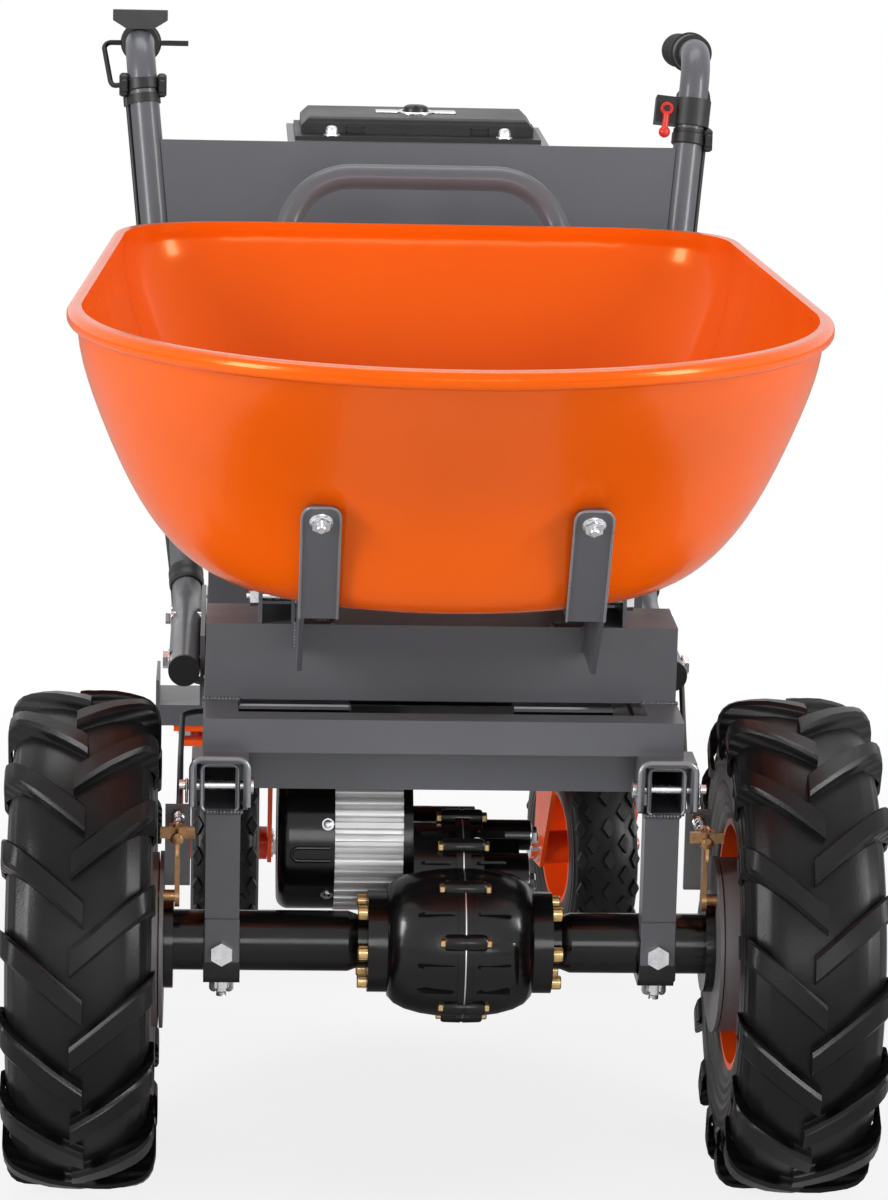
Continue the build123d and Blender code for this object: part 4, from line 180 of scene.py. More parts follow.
def mouldedFinish(name, look):
    # moulded plastic or rubber with a fine grain and a little dust in it
    mat, tree, shader, where = startFinish(name)
    dark = scaled(look["colour"], 0.8)
    light = scaled(look["colour"], 1.25)
    drift = speckle(tree, where, *mouldNoise["drift"])
    shade = tones(tree, drift, ((0.3, dark), (0.7, light)))
    dust = speckle(tree, where, *mouldNoise["dust"])
    dust = spread(tree, dust, 0.0, look["dust"], *mouldNoise["dustSpan"])
    grain = speckle(tree, where, look["grainScale"], 3)
    feed(tree, shader, {
        "Base Color": dusted(tree, dust, shade, look.get("dustColour", mouldNoise["dustColour"])),
        "Roughness": spread(tree, drift, *look["rough"]),
        "Specular IOR Level": 0.4,
        "Normal": relief(tree, grain, look["grain"], 0.0005),
    })
    return mat


def tyreFinish(name, centre, pitch, look):
    # rubber with mould rings on the sidewall, counted from the wheel's own axle
    mat, tree, shader, where = startFinish(name)
    moved = addNode(tree, "ShaderNodeMapping", {"Vector": where, "Location": -centre})["Vector"]
    flat = addNode(tree, "ShaderNodeVectorMath", {0: moved, 1: look["flatten"]}, operation="MULTIPLY")
    radius = lengthOf(tree, flat["Vector"])
    wave = doMath(tree, "SINE", doMath(tree, "MULTIPLY", radius, 2 * pi / pitch))
    drift = speckle(tree, where, *tyreNoise["drift"])
    shade = tones(tree, drift, ((0.3, look["dark"]), (0.7, look["light"])))
    dust = speckle(tree, where, *tyreNoise["dust"])
    dust = spread(tree, dust, 0.0, look["dust"], *tyreNoise["dustSpan"])
    rings = relief(tree, wave, look["ringDepth"], 0.0008)
    feed(tree, shader, {
        "Base Color": dusted(tree, dust, shade, look["dustColour"]),
        "Roughness": spread(tree, drift, *look["rough"]),
        "Specular IOR Level": look["shine"],
        "Normal": relief(tree, speckle(tree, where, *tyreNoise["grain"]), 0.25, 0.0005, rings),
    })
    return mat


paints = {
    "tubPaint": {"colour": (0.76, 0.098, 0.002), "drift": 0.04, "dust": 0.02,
                 "dustColour": (0.62, 0.14, 0.03), "rough": (0.20, 0.26), "shine": 0.6,
                 "shineTint": (1.0, 0.42, 0.10), "coat": 0.12, "coatRough": 0.06, "peelScale": 90.0,
                 "peel": 0.008},
    "framePaint": {"colour": (0.082, 0.084, 0.094), "drift": 0.08, "dust": 0.10,
                   "dustColour": (0.13, 0.13, 0.135), "rough": (0.34, 0.46), "shine": 0.34, "coat": 0.22,
                   "coatRough": 0.16, "peelScale": 520.0, "peel": 0.12},
    # painted highlight: a lighter grey for thin bars along frame edges, standing in for light caught on the
    # rounded edges
    "edgeHighlightPaint": {"colour": (0.22, 0.225, 0.24), "drift": 0.20, "dust": 0.30,
                    "dustColour": (0.10, 0.10, 0.11), "rough": (0.24, 0.40), "shine": 0.5, "metal": 0.3,
                    "peelScale": 420.0, "peel": 0.12},
    "axlePaint": {"colour": (0.0035, 0.0035, 0.0038), "drift": 0.25, "dust": 0.08,
                  "dustColour": (0.016, 0.016, 0.015), "rough": (0.12, 0.24), "shine": 0.36,
                  "peelScale": 260.0, "peel": 0.06},
    "castPaint": {"colour": (0.0035, 0.0035, 0.0038), "drift": 0.25, "dust": 0.10,
                  "dustColour": (0.016, 0.016, 0.015), "rough": (0.14, 0.28), "shine": 0.36,
                  "peelScale": 150.0, "peel": 0.22},
    "rimPaint": {"colour": (0.76, 0.075, 0.005), "drift": 0.06, "dust": 0.10,
                 "dustColour": (0.45, 0.12, 0.05), "rough": (0.24, 0.38), "shine": 0.4,
                 "peelScale": 260.0, "peel": 0.08},
    "drumGrey": {"colour": (0.16, 0.16, 0.165), "drift": 0.18, "dust": 0.35,
                 "dustColour": (0.10, 0.095, 0.09), "rough": (0.42, 0.62), "metal": 0.55,
                 "peelScale": 300.0, "peel": 0.35},
}
metals = {
    "motorAluminium": {"tints": ((0.3, (0.66, 0.66, 0.67)), (0.7, (0.80, 0.80, 0.80))), "tintScale": 18.0,
                       "metal": 0.3, "lineScale": 130.0, "stretch": (0.04, 1, 1), "rough": (0.30, 0.46),
                       "scratch": 0.14},
    "zincPlate": {"tints": ((0.3, (0.58, 0.59, 0.61)), (0.7, (0.78, 0.79, 0.80))), "tintScale": 120.0,
                  "lineScale": 300.0, "stretch": (1, 1, 0.2), "rough": (0.20, 0.40), "scratch": 0.12},
    "yellowZinc": {"tints": ((0.25, (0.50, 0.30, 0.12)), (0.5, (0.72, 0.52, 0.24)),
                             (0.75, (0.66, 0.44, 0.30))), "tintScale": 150.0, "lineScale": 260.0,
                   "stretch": (1, 1, 0.3), "rough": (0.22, 0.40), "scratch": 0.12},
    # the yellow zinc's tints at about half their brightness, for the brake arms, cable adjusters and wing
    # nuts
    "darkenedYellowZinc": {"tints": ((0.25, (0.16, 0.085, 0.045)), (0.5, (0.36, 0.21, 0.10)),
                           (0.75, (0.26, 0.14, 0.075))), "tintScale": 110.0, "lineScale": 260.0,
                 "stretch": (1, 1, 0.3), "rough": (0.24, 0.44), "scratch": 0.14},
    "turnedSteel": {"tints": ((0.3, (0.42, 0.42, 0.43)), (0.7, (0.58, 0.58, 0.59))), "tintScale": 40.0,
                    "lineScale": 400.0, "stretch": (1, 0.3, 0.3), "rough": (0.26, 0.44), "scratch": 0.10},
    "splitEdge": {"tints": ((0.3, (0.62, 0.62, 0.62)), (0.7, (0.80, 0.80, 0.79))), "tintScale": 90.0,
                  "lineScale": 300.0, "stretch": (1, 1, 1), "rough": (0.30, 0.45), "scratch": 0.08},
}
plastics = {
    "blackPlastic": {"colour": (0.0055, 0.0055, 0.006), "dust": 0.03, "rough": (0.38, 0.52),
                     "grainScale": 700.0, "grain": 0.22},
    "headPlastic": {"colour": (0.026, 0.028, 0.028), "dust": 0.06, "rough": (0.48, 0.62), "grainScale": 600.0,
                    "grain": 0.22},
    "whitePlastic": {"colour": (0.74, 0.74, 0.72), "dust": 0.08, "rough": (0.36, 0.5), "grainScale": 500.0,
                     "grain": 0.10, "dustColour": (0.5, 0.48, 0.44)},
    "redPlastic": {"colour": (0.55, 0.022, 0.012), "dust": 0.06, "rough": (0.28, 0.40), "grainScale": 500.0,
                   "grain": 0.10, "dustColour": (0.3, 0.06, 0.05)},
    "gripRubber": {"colour": (0.006, 0.006, 0.006), "dust": 0.04, "rough": (0.55, 0.72), "grainScale": 900.0,
                   "grain": 0.30},
    "cableSheath": {"colour": (0.005, 0.005, 0.005), "dust": 0.04, "rough": (0.42, 0.58), "grainScale": 900.0,
                    "grain": 0.12},
    "brakeFibre": {"colour": (0.22, 0.17, 0.12), "dust": 0.20, "rough": (0.7, 0.85), "grainScale": 400.0,
                   "grain": 0.40},
}
driveRubber = {"dark": (0.0035, 0.0035, 0.0038), "light": (0.008, 0.008, 0.0085), "dust": 0.05, "shine": 0.20,
               "dustColour": (0.025, 0.024, 0.022), "rough": (0.26, 0.42), "ringDepth": 0.35,
               "flatten": (0, 1, 1)}
ringPitch = {"drive": 0.009, "caster": 0.006}
finishes = {}
for looks, makeFinish in ((paints, paintFinish), (metals, metalFinish), (plastics, mouldedFinish)):
    for name, look in looks.items():
        finishes[name] = makeFinish(name, look)
finishes["driveRubber"] = tyreFinish("driveRubber", fromAxle(0, 0, axleHigh), ringPitch["drive"], driveRubber)
for side, spot in casters.items():
    name = "casterRubber" + side.capitalize()
    centre = fromAxle(spot["x"], spot["y"], casterHigh)
    finishes[name] = tyreFinish(name, centre, ringPitch["caster"], driveRubber)
print("finishes ready:", len(finishes))

nodeFinish = {
    "tubPaint": ["tub"],
    "framePaint": ["axle_legs", "back_plate", "box_beams", "caster_beam", "chassis_frame", "dump_hoop",
                   "front_straps", "handle_tubes", "tip_frame", "tub_bearers"],
    "axlePaint": ["axle_tubes", "motor_end_bells"],
    "castPaint": ["gearbox_case_left", "gearbox_case_right", "motor_controller"],
    "rimPaint": ["rim_left", "rim_right", "caster_rim_left", "caster_rim_right", "caster_fork_left",
                 "caster_fork_right", "caster_plates"],
    "drumGrey": ["hub_left", "hub_right", "brake_plates"],
    "motorAluminium": ["motor_body"],
    "zincPlate": ["frame_bolts", "hinge_pins", "tub_bolts"],
    "yellowZinc": ["gearbox_bolts"],
    "darkenedYellowZinc": ["brake_arm_left", "brake_arm_right"],
    "turnedSteel": ["diff_carrier", "drive_bearings", "idler_gear", "motor_rotor"],
    "splitEdge": ["gearbox_gasket"],
    "blackPlastic": ["battery_case", "battery_pack", "console", "handle_end_caps", "key_knob", "lever_perch",
                     "switch_box", "throttle_lever", "brake_lever"],
    "headPlastic": ["throttle_housing"],
    "whitePlastic": ["filler_plug"],
    "redPlastic": ["direction_lever"],
    "gripRubber": ["grips", "rest_pads"],
    "cableSheath": ["brake_cables", "leads", "cable_bands"],
    "brakeFibre": ["brake_shoes"],
    "driveRubber": ["tyre_left", "tyre_right"],
    "casterRubberLeft": ["caster_tyre_left"],
    "casterRubberRight": ["caster_tyre_right"],
}
for finish, names in nodeFinish.items():
    for name in names:
        data = cadNodes[name].data
        data.materials.clear()
        data.materials.append(finishes[finish])

# Stage, light and camera

stageLook = {"floorHalf": 14.0, "floorColour": (0.62, 0.62, 0.62), "floorRough": 0.8, "whiteNear": 0.82,
             "whiteFrom": 0.5, "whiteTo": 1.4, "worldFill": 0.24}


def makeStage():
    mesh = bpy.data.meshes.new("floor")
    half = stageLook["floorHalf"]
    corners = [(-half, -half, 0), (half, -half, 0), (half, half, 0), (-half, half, 0)]
    mesh.from_pydata(corners, [], [(0, 1, 2, 3)])
    floor = bpy.data.objects.new("floor", mesh)
    bpy.context.collection.objects.link(floor)
    mat, tree, shader, where = startFinish("paleFloor")
    feed(tree, shader, {"Roughness": stageLook["floorRough"], "Base Color": (*stageLook["floorColour"], 1)})
    share = spread(tree, lengthOf(tree, where), stageLook["whiteNear"], 1.0,
                   stageLook["whiteFrom"], stageLook["whiteTo"])
    rays = addNode(tree, "ShaderNodeLightPath", {})
    seen = doMath(tree, "MULTIPLY", rays["Is Camera Ray"], share)
    glow = addNode(tree, "ShaderNodeEmission", {})["Emission"]
    blend = addNode(tree, "ShaderNodeMixShader", {"Fac": seen, 1: shader.outputs["BSDF"], 2: glow})["Shader"]
    feed(tree, tree.nodes["Material Output"], {"Surface": blend})
    mesh.materials.append(mat)


def makeWorld():  # white where it is seen or mirrored, and only a little fill light from it
    world = bpy.data.worlds.new("paleRoom")
    bpy.context.scene.world = world
    world.use_nodes = True
    tree = world.node_tree
    rays = addNode(tree, "ShaderNodeLightPath", {})
    shown = doMath(tree, "MAXIMUM", rays["Is Camera Ray"], rays["Is Glossy Ray"])
    shown = doMath(tree, "MAXIMUM", shown, rays["Is Transmission Ray"])
    strength = spread(tree, shown, stageLook["worldFill"], 1.0, 0.0, 1.0)
    feed(tree, tree.nodes["Background"], {"Color": (1, 1, 1, 1), "Strength": strength})


lamps = {
    "softboxLeft": {"place": (-2.9, -1.8, 1.5), "target": (0, -0.2, 0.5), "size": (0.8, 2.2), "power": 110},
    "softboxRight": {"place": (2.9, -1.6, 1.5), "target": (0, -0.2, 0.5), "size": (0.7, 2.2), "power": 96},
    "softboxTop": {"place": (0.0, 0.9, 3.2), "target": (0, -0.1, 0.4), "size": (2.4, 1.2), "power": 34},
    "softboxFront": {"place": (0.3, -3.6, 1.0), "target": (0, 0, 0.5), "size": (1.6, 0.9), "power": 20},
}


def makeLamps():
    for name, lamp in lamps.items():
        data = bpy.data.lights.new(name, "AREA")
        data.shape = "RECTANGLE"
        data.size, data.size_y = lamp["size"]
        data.energy = lamp["power"]
        light = bpy.data.objects.new(name, data)
        bpy.context.collection.objects.link(light)
        light.location = lamp["place"]
        aim = Vector(lamp["target"]) - Vector(lamp["place"])
        light.rotation_euler = aim.to_track_quat("-Z", "Y").to_euler()


cameraLook = {"place": (-179, -3500, 1267), "yaw": 2.90, "pitch": 12.43, "roll": 1.32,
              "lens": 132.27, "sensor": 36}


def makeCamera():
    data = bpy.data.cameras.new("photoView")
    data.sensor_width = cameraLook["sensor"]
    data.lens = cameraLook["lens"]
    camera = bpy.data.objects.new("photoView", data)
    bpy.context.collection.objects.link(camera)
    yaw, pitch, roll = (radians(cameraLook[k]) for k in ("yaw", "pitch", "roll"))
    right = Vector((cos(yaw), -sin(yaw), 0))
    ahead = Vector((sin(yaw) * cos(pitch), cos(yaw) * cos(pitch), -sin(pitch)))
    down = ahead.cross(right)
    across = cos(roll) * right - sin(roll) * down
    below = sin(roll) * right + cos(roll) * down
    turn = Matrix((across, -below, -ahead)).transposed().to_4x4()
    camera.matrix_world = Matrix.Translation(fromAxle(*cameraLook["place"])) @ turn
    bpy.context.scene.camera = camera


makeStage()
makeWorld()
makeLamps()
makeCamera()
bpy.context.scene.view_settings.view_transform = "Standard"
print("stage, lamps and camera set")

# Making meshes

def loft(rings, closed=False):  # a skin over rings of points, closed on itself or capped at both ends
    count = len(rings[0])
    points = [p for ring in rings for p in ring]
    faces = []
    for i in range(len(rings) if closed else len(rings) - 1):
        n = (i + 1) % len(rings)
        for j in range(count):
            k = (j + 1) % count
            faces.append((i * count + j, i * count + k, n * count + k, n * count + j))
    if not closed:
        faces.append(tuple(range(count)))
        faces.append(tuple((len(rings) - 1) * count + j for j in range(count)))
    return points, faces


def inMetres(outline):  # (height, radius) pairs drawn in millimetres
    return [(h / 1000, r / 1000) for h, r in outline]


def smoothed(mesh, sharp):
    mesh.shade_smooth()
    mesh.set_sharp_from_angle(angle=radians(sharp))
    return mesh


def toMesh(name, shapes, sharp=35):
    points, faces = [], []
    for shapePoints, shapeFaces in shapes:
        base = len(points)
        points.extend(tuple(p) for p in shapePoints)
        faces.extend(tuple(base + i for i in face) for face in shapeFaces)
    mesh = bpy.data.meshes.new(name)
    mesh.from_pydata(points, [], faces)
    whole = bmesh.new()
    whole.from_mesh(mesh)
    bmesh.ops.recalc_face_normals(whole, faces=whole.faces)
    whole.to_mesh(mesh)
    whole.free()
    return smoothed(mesh, sharp)


def joined(name, meshes, sharp=35):
    whole = bmesh.new()
    for mesh in meshes:
        whole.from_mesh(mesh)
    out = bpy.data.meshes.new(name)
    whole.to_mesh(out)
    whole.free()
    return smoothed(out, sharp)


def sideBasis(axis):
    spare = Vector((0, 0, 1)) if abs(axis.z) < 0.9 else Vector((0, 1, 0))
    across = spare.cross(axis).normalized()
    return across, axis.cross(across)


def roundOf(across, up, steps):  # unit vectors all the way round
    return [across * cos(2 * pi * i / steps) + up * sin(2 * pi * i / steps) for i in range(steps)]


def hooped(place, axis, outline, steps=40):  # a closed (height, radius) outline turned about an axis
    axis = Vector(axis).normalized()
    middle = Vector(place)
    return loft([[middle + axis * h + out * r for h, r in outline]
                 for out in roundOf(*sideBasis(axis), steps)], closed=True)


def turnedOn(place, axis, profile, steps=32):  # (height, radius) pairs turned about an axis, ends closed
    axis = Vector(axis).normalized()
    middle = Vector(place)
    ways = roundOf(*sideBasis(axis), steps)
    return loft([[middle + axis * h + out * max(r, 1e-5) for out in ways] for h, r in profile])


def swept(path, radius, steps=12):  # a round bar along a line of points, with one radius or one for each
    rings = []
    path = [Vector(p) for p in path]
    across = None
    for i, spot in enumerate(path):
        ahead = (path[min(i + 1, len(path) - 1)] - path[max(i - 1, 0)]).normalized()
        if across is None:
            across = sideBasis(ahead)[0]
        across = (across - ahead * across.dot(ahead)).normalized()
        size = radius[i] if isinstance(radius, list) else radius
        rings.append([spot + out * size for out in roundOf(across, ahead.cross(across), steps)])
    return loft(rings)


def softBox(low, high, edge):  # a block with eased edges, its corners given as for fromAxle
    rings = []
    for z, inset in ((low[2], edge), (low[2] + edge, 0), (high[2] - edge, 0), (high[2], edge)):
        x0, x1 = low[0] + inset, high[0] - inset
        y0, y1 = low[1] + inset, high[1] - inset
        corners = ((x0 + edge, y0), (x1 - edge, y0), (x1, y0 + edge), (x1, y1 - edge),
                   (x1 - edge, y1), (x0 + edge, y1), (x0, y1 - edge), (x0, y0 + edge))
        rings.append([fromAxle(x, y, z) for x, y in corners])
    return loft(rings)


def corner(x, z, r, start, steps=6):  # a quarter turn in the X-Z plane
    return [(x + r * cos(radians(start + 90 * i / steps)), z + r * sin(radians(start + 90 * i / steps)))
            for i in range(steps + 1)]


# Geometry Nodes for what repeats

def startTree(name, sockets):
    tree = bpy.data.node_groups.new(name, "GeometryNodeTree")
    ids = {}
    for label, kind in (("Geometry", "NodeSocketGeometry"), *sockets):
        ids[label] = tree.interface.new_socket(label, in_out="INPUT", socket_type=kind).identifier
    tree.interface.new_socket("Geometry", in_out="OUTPUT", socket_type="NodeSocketGeometry")
    given = tree.nodes.new("NodeGroupInput")
    result = tree.nodes.new("NodeGroupOutput")
    return tree, ids, given.outputs, result


def endTree(tree, given, instances, result):
    real = addNode(tree, "GeometryNodeRealizeInstances", {"Geometry": instances})["Geometry"]
    painted = addNode(tree, "GeometryNodeSetMaterial", {"Geometry": real, "Material": given["Finish"]})
    feed(tree, result, {"Geometry": painted["Geometry"]})


def ringTree():  # one shape set round an axle, as many times as Count says
    tree, ids, given, result = startTree("ringOfShapes", (
        ("Shape", "NodeSocketObject"), ("Count", "NodeSocketInt"), ("Start", "NodeSocketFloat"),
        ("Centre", "NodeSocketVector"), ("Finish", "NodeSocketMaterial")))
    line = addNode(tree, "GeometryNodeMeshLine", {"Count": given["Count"], "Offset": (0, 0, 0)})["Mesh"]
    shape = addNode(tree, "GeometryNodeObjectInfo", {"Object": given["Shape"]})["Geometry"]
    placed = addNode(tree, "GeometryNodeInstanceOnPoints", {"Points": line, "Instance": shape})["Instances"]
    index = addNode(tree, "GeometryNodeInputIndex", {})["Index"]
    share = doMath(tree, "DIVIDE", index, given["Count"])
    angle = doMath(tree, "ADD", doMath(tree, "MULTIPLY", share, 2 * pi), given["Start"])
    about = addNode(tree, "ShaderNodeCombineXYZ", {"X": angle})["Vector"]
    turned = addNode(tree, "GeometryNodeRotateInstances", {
        "Instances": placed, "Rotation": about, "Local Space": False})["Instances"]
    moved = addNode(tree, "GeometryNodeTranslateInstances", {
        "Instances": turned, "Translation": given["Centre"], "Local Space": False})["Instances"]
    endTree(tree, given, moved, result)
    return tree, ids


def seatTree(name, pivot):  # one shape on every point of a mesh, its Z axis along the point's own "facing"
    tree, ids, given, result = startTree(name, (
        ("Shape", "NodeSocketObject"), ("Finish", "NodeSocketMaterial")))
    shape = addNode(tree, "GeometryNodeObjectInfo", {"Object": given["Shape"]})["Geometry"]
    facing = addNode(tree, "GeometryNodeInputNamedAttribute", {"Name": "facing"}, data_type="FLOAT_VECTOR")
    turned = addNode(tree, "FunctionNodeAlignRotationToVector", {"Vector": facing["Attribute"]},
                     axis="Z", pivot_axis=pivot)["Rotation"]
    placed = addNode(tree, "GeometryNodeInstanceOnPoints", {
        "Points": given["Geometry"], "Instance": shape, "Rotation": turned})["Instances"]
    endTree(tree, given, placed, result)
    return tree, ids


def beadTree(least, most):  # overlapping drops along an edge line, as a weld run is laid
    tree, ids, given, result = startTree("weldRun", (
        ("Spacing", "NodeSocketFloat"), ("Size", "NodeSocketFloat"), ("Seed", "NodeSocketInt"),
        ("Finish", "NodeSocketMaterial")))
    curve = addNode(tree, "GeometryNodeMeshToCurve", {"Mesh": given["Geometry"]})["Curve"]
    steps = addNode(tree, "GeometryNodeResampleCurve", {"Curve": curve, "Length": given["Spacing"]},
                    mode="LENGTH")
    drop = addNode(tree, "GeometryNodeMeshIcoSphere", {"Subdivisions": 2, "Radius": given["Size"]})["Mesh"]
    chance = addNode(tree, "FunctionNodeRandomValue", {2: least, 3: most, "Seed": given["Seed"]},
                     data_type="FLOAT")
    placed = addNode(tree, "GeometryNodeInstanceOnPoints", {
        "Points": steps["Curve"], "Instance": drop, "Scale": chance[1]})["Instances"]
    endTree(tree, given, placed, result)
    return tree, ids


ringOfShapes = ringTree()
shapesOnPoints = seatTree("shapesOnPoints", "AUTO")
finsRoundAxle = seatTree("finsRoundAxle", "X")
weldRun = beadTree(0.85, 1.12)


def grown(name, tree, finish, values, start=None):  # runs a tree once and keeps its plain mesh
    group, ids = tree
    holder = bpy.data.objects.new(name, start or bpy.data.meshes.new(name))
    bpy.context.collection.objects.link(holder)
    nodes = holder.modifiers.new("repeat", "NODES")
    nodes.node_group = group
    for label, value in values.items():
        nodes[ids[label]] = value
    nodes[ids["Finish"]] = finishes[finish]
    holder.update_tag()
    graph = bpy.context.evaluated_depsgraph_get()
    mesh = bpy.data.meshes.new_from_object(holder.evaluated_get(graph), depsgraph=graph)
    holder.modifiers.remove(nodes)
    bpy.data.objects.remove(holder)
    mesh.name = name
    return mesh


def ringed(name, shape, finish, count, start, centre):
    values = {"Shape": shape, "Count": count, "Start": start, "Centre": centre}
    return grown(name, ringOfShapes, finish, values)


def seated(name, shape, places, finish, tree=shapesOnPoints):  # places are points and the ways they face
    mesh = bpy.data.meshes.new(name)
    mesh.from_pydata([tuple(p) for p, _ in places], [], [])
    way = mesh.attributes.new("facing", "FLOAT_VECTOR", "POINT")
    for i, (_, facing) in enumerate(places):
        way.data[i].vector = facing
    return grown(name, tree, finish, {"Shape": shape}, mesh)


# Small patterns for the trees, drawn in millimetres with Z along the screw

def mm(points, faces):
    return [Vector(p) / 1000 for p in points], faces


def lathe(profile, steps=28):
    return mm(*turnedOn((0, 0, 0), (0, 0, 1), profile, steps))


def pattern(name, shapes, sharp=30):  # kept out of sight, for the trees to repeat
    return bpy.data.objects.new(name, toMesh(name, shapes, sharp))


def hexHead(r, h, base=0.0):
    return lathe([(base, r * 0.97), (base + 0.4, r), (base + h * 0.8, r), (base + h, r * 0.84)], 6)


def washer(r, t, base=0.0):
    return lathe([(base, r), (base + t * 0.75, r), (base + t, r * 0.95)], 36)


# Putting pieces on the machine

slotOf = {
    "castPaint": "drive_black", "axlePaint": "drive_black", "framePaint": "frame_grey",
    "edgeHighlightPaint": "frame_grey", "yellowZinc": "yellow_zinc", "darkenedYellowZinc": "yellow_zinc",
    "zincPlate": "zinc_steel", "motorAluminium": "motor_aluminium", "blackPlastic": "plastic_black",
    "gripRubber": "rubber_black", "driveRubber": "tyre_black", "casterRubberLeft": "tyre_black",
    "casterRubberRight": "tyre_black",
}


def addPiece(name, mesh, finish, body="chassis", nodes=(), slot=None):
    slot = slot or slotOf[finish]
    mesh.materials.clear()
    mesh.materials.append(finishes[finish])
    piece = bpy.data.objects.new(name, mesh)
    bpy.context.collection.objects.link(piece)
    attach(piece, body)
    if nodes:
        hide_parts(*nodes)
    return piece


def addShapes(name, shapes, finish, body="chassis", nodes=(), slot=None, sharp=35):
    return addPiece(name, toMesh(name, shapes, sharp), finish, body, nodes, slot)


def addSeated(name, shape, places, finish, body="chassis", nodes=()):
    return addPiece(name, seated(name, shape, places, finish), finish, body, nodes)


# Drive tyres

driveTyre = {
    "centreX": 0.2925, "steps": 160, "lugs": 16, "start": 0.05, "lugWidth": 0.023, "sweep": 0.052,
    "lugReach": 61, "turnR": 0.2, "bevel": 3.2, "crown": 0.36,
    "carcass": [(47.5, 101.6), (51.5, 106), (52.5, 112), (54.6, 122), (54.2, 126), (56.4, 134), (57.6, 141),
                (58, 152), (57.4, 160), (56, 168), (53, 178), (47, 185), (38, 190), (20, 193.2), (0, 194)],
    "inside": [(-44, 112), (-46, 150), (-36, 176), (0, 182), (36, 176), (46, 150), (44, 112)],
    "lugLine": [(-5, 204.4, 189), (0, 205, 189.5), (12, 205, 189.5), (24, 204.8, 188.5), (36, 203.4, 186.5),
                (46, 201.6, 182), (52, 199.4, 178), (56.5, 195.6, 172), (59.8, 190, 166), (61, 184, 160),
                (60.8, 176, 156), (59.6, 170, 154), (57.9, 166, 152)],
}


def carcassOf(name, tyre, centre=Vector()):  # half of the outside, mirrored, and the inside
    outer = tyre["carcass"]
    outline = outer + [(-x, r) for x, r in reversed(outer[:-1])] + tyre["inside"]
    return toMesh("carcass_" + name, [hooped(centre, (1, 0, 0), inMetres(outline), tyre["steps"])], 30)


def oneLug(side, start):
    bevel, crown = driveTyre["bevel"], driveTyre["crown"]
    rings = []
    for x, top, base in driveTyre["lugLine"]:
        along = start + driveTyre["sweep"] * (x / driveTyre["lugReach"] - 0.5) / driveTyre["turnR"]
        ring = []
        for across, reach in ((-0.5, base), (-0.5, top - bevel), (-crown, top),
                              (crown, top), (0.5, top - bevel), (0.5, base)):
            a = along + across * driveTyre["lugWidth"] / driveTyre["turnR"]
            r = reach / 1000
            ring.append(Vector((side * x / 1000, r * sin(a), r * cos(a))))
        rings.append(ring)
    return loft(rings)


def makeDriveTyres():
    halfPitch = pi / driveTyre["lugs"]
    shape = pattern("lugPair", [oneLug(1, 0.0), oneLug(-1, halfPitch)], 28)
    for name, side in sides.items():
        centre = Vector((side * driveTyre["centreX"], axleY, axleHigh / 1000))
        lugs = ringed("lugs_" + name, shape, "driveRubber", driveTyre["lugs"], driveTyre["start"], centre)
        mesh = joined("chevron_tyre_" + name, [carcassOf(name, driveTyre, centre), lugs], 30)
        addPiece("chevron_tyre_" + name, mesh, "driveRubber", "wheel_" + name, ("tyre_" + name,))


makeDriveTyres()
print("drive tyres cut")

# Caster tyres

casterTyre = {
    "steps": 120, "blocks": 22, "blockLong": 23.0, "crownR": 110, "crownFall": 0.0052, "sunk": 5.5,
    "turnR": 108,
    "carcass": [(26, 55), (28, 60), (31.2, 72), (32.4, 84), (31.6, 94), (29, 100), (23, 104), (13, 106.2),
                (0, 106.8)],
    "inside": [(-23, 60), (-24, 85), (0, 96), (24, 85), (23, 60)],
    "blockRows": ((-16, 0.5, 15), (0, 0.0, 15), (16, 0.5, 15), (-26.2, 0.0, 11), (26.2, 0.0, 11)),
    "diamond": ((-0.5, 0), (-0.06, -0.46), (0.06, -0.46), (0.5, 0), (0.06, 0.46), (-0.06, 0.46)), "top": 0.78,
}


def diamondBlock(x, share, wide):
    turn = share * 2 * pi / casterTyre["blocks"]
    rings = []
    for scale, sunk in ((1.0, casterTyre["sunk"]), (casterTyre["top"], 0)):
        ring = []
        for dx, dy in casterTyre["diamond"]:
            px = x + dx * scale * wide
            r = (casterTyre["crownR"] - casterTyre["crownFall"] * px * px - sunk) / 1000
            a = turn + dy * scale * casterTyre["blockLong"] / casterTyre["turnR"]
            ring.append(Vector((px / 1000, r * sin(a), r * cos(a))))
        rings.append(ring)
    return loft(rings)


def makeCasterTyres():
    shape = pattern("diamondRow", [diamondBlock(*row) for row in casterTyre["blockRows"]], 28)
    for name, spot in casters.items():
        low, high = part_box("caster_tyre_" + name)
        centre = (Vector(low) + Vector(high)) / 2
        finish = "casterRubber" + name.capitalize()
        blocks = ringed("blocks_" + name, shape, finish, casterTyre["blocks"], 0.0, Vector())
        mesh = joined("diamond_tyre_" + name, [carcassOf(name, casterTyre), blocks], 30)
        mesh.transform(Matrix.Translation(centre) @ Matrix.Rotation(radians(spot["toe"]), 4, "Z"))
        addPiece("diamond_tyre_" + name, mesh, finish, "caster_" + name, ("caster_tyre_" + name,))


makeCasterTyres()
print("caster tyres cut")

# Gearbox: bosses with through screws along the split, ribs, flange screws, end bolts, swollen belly

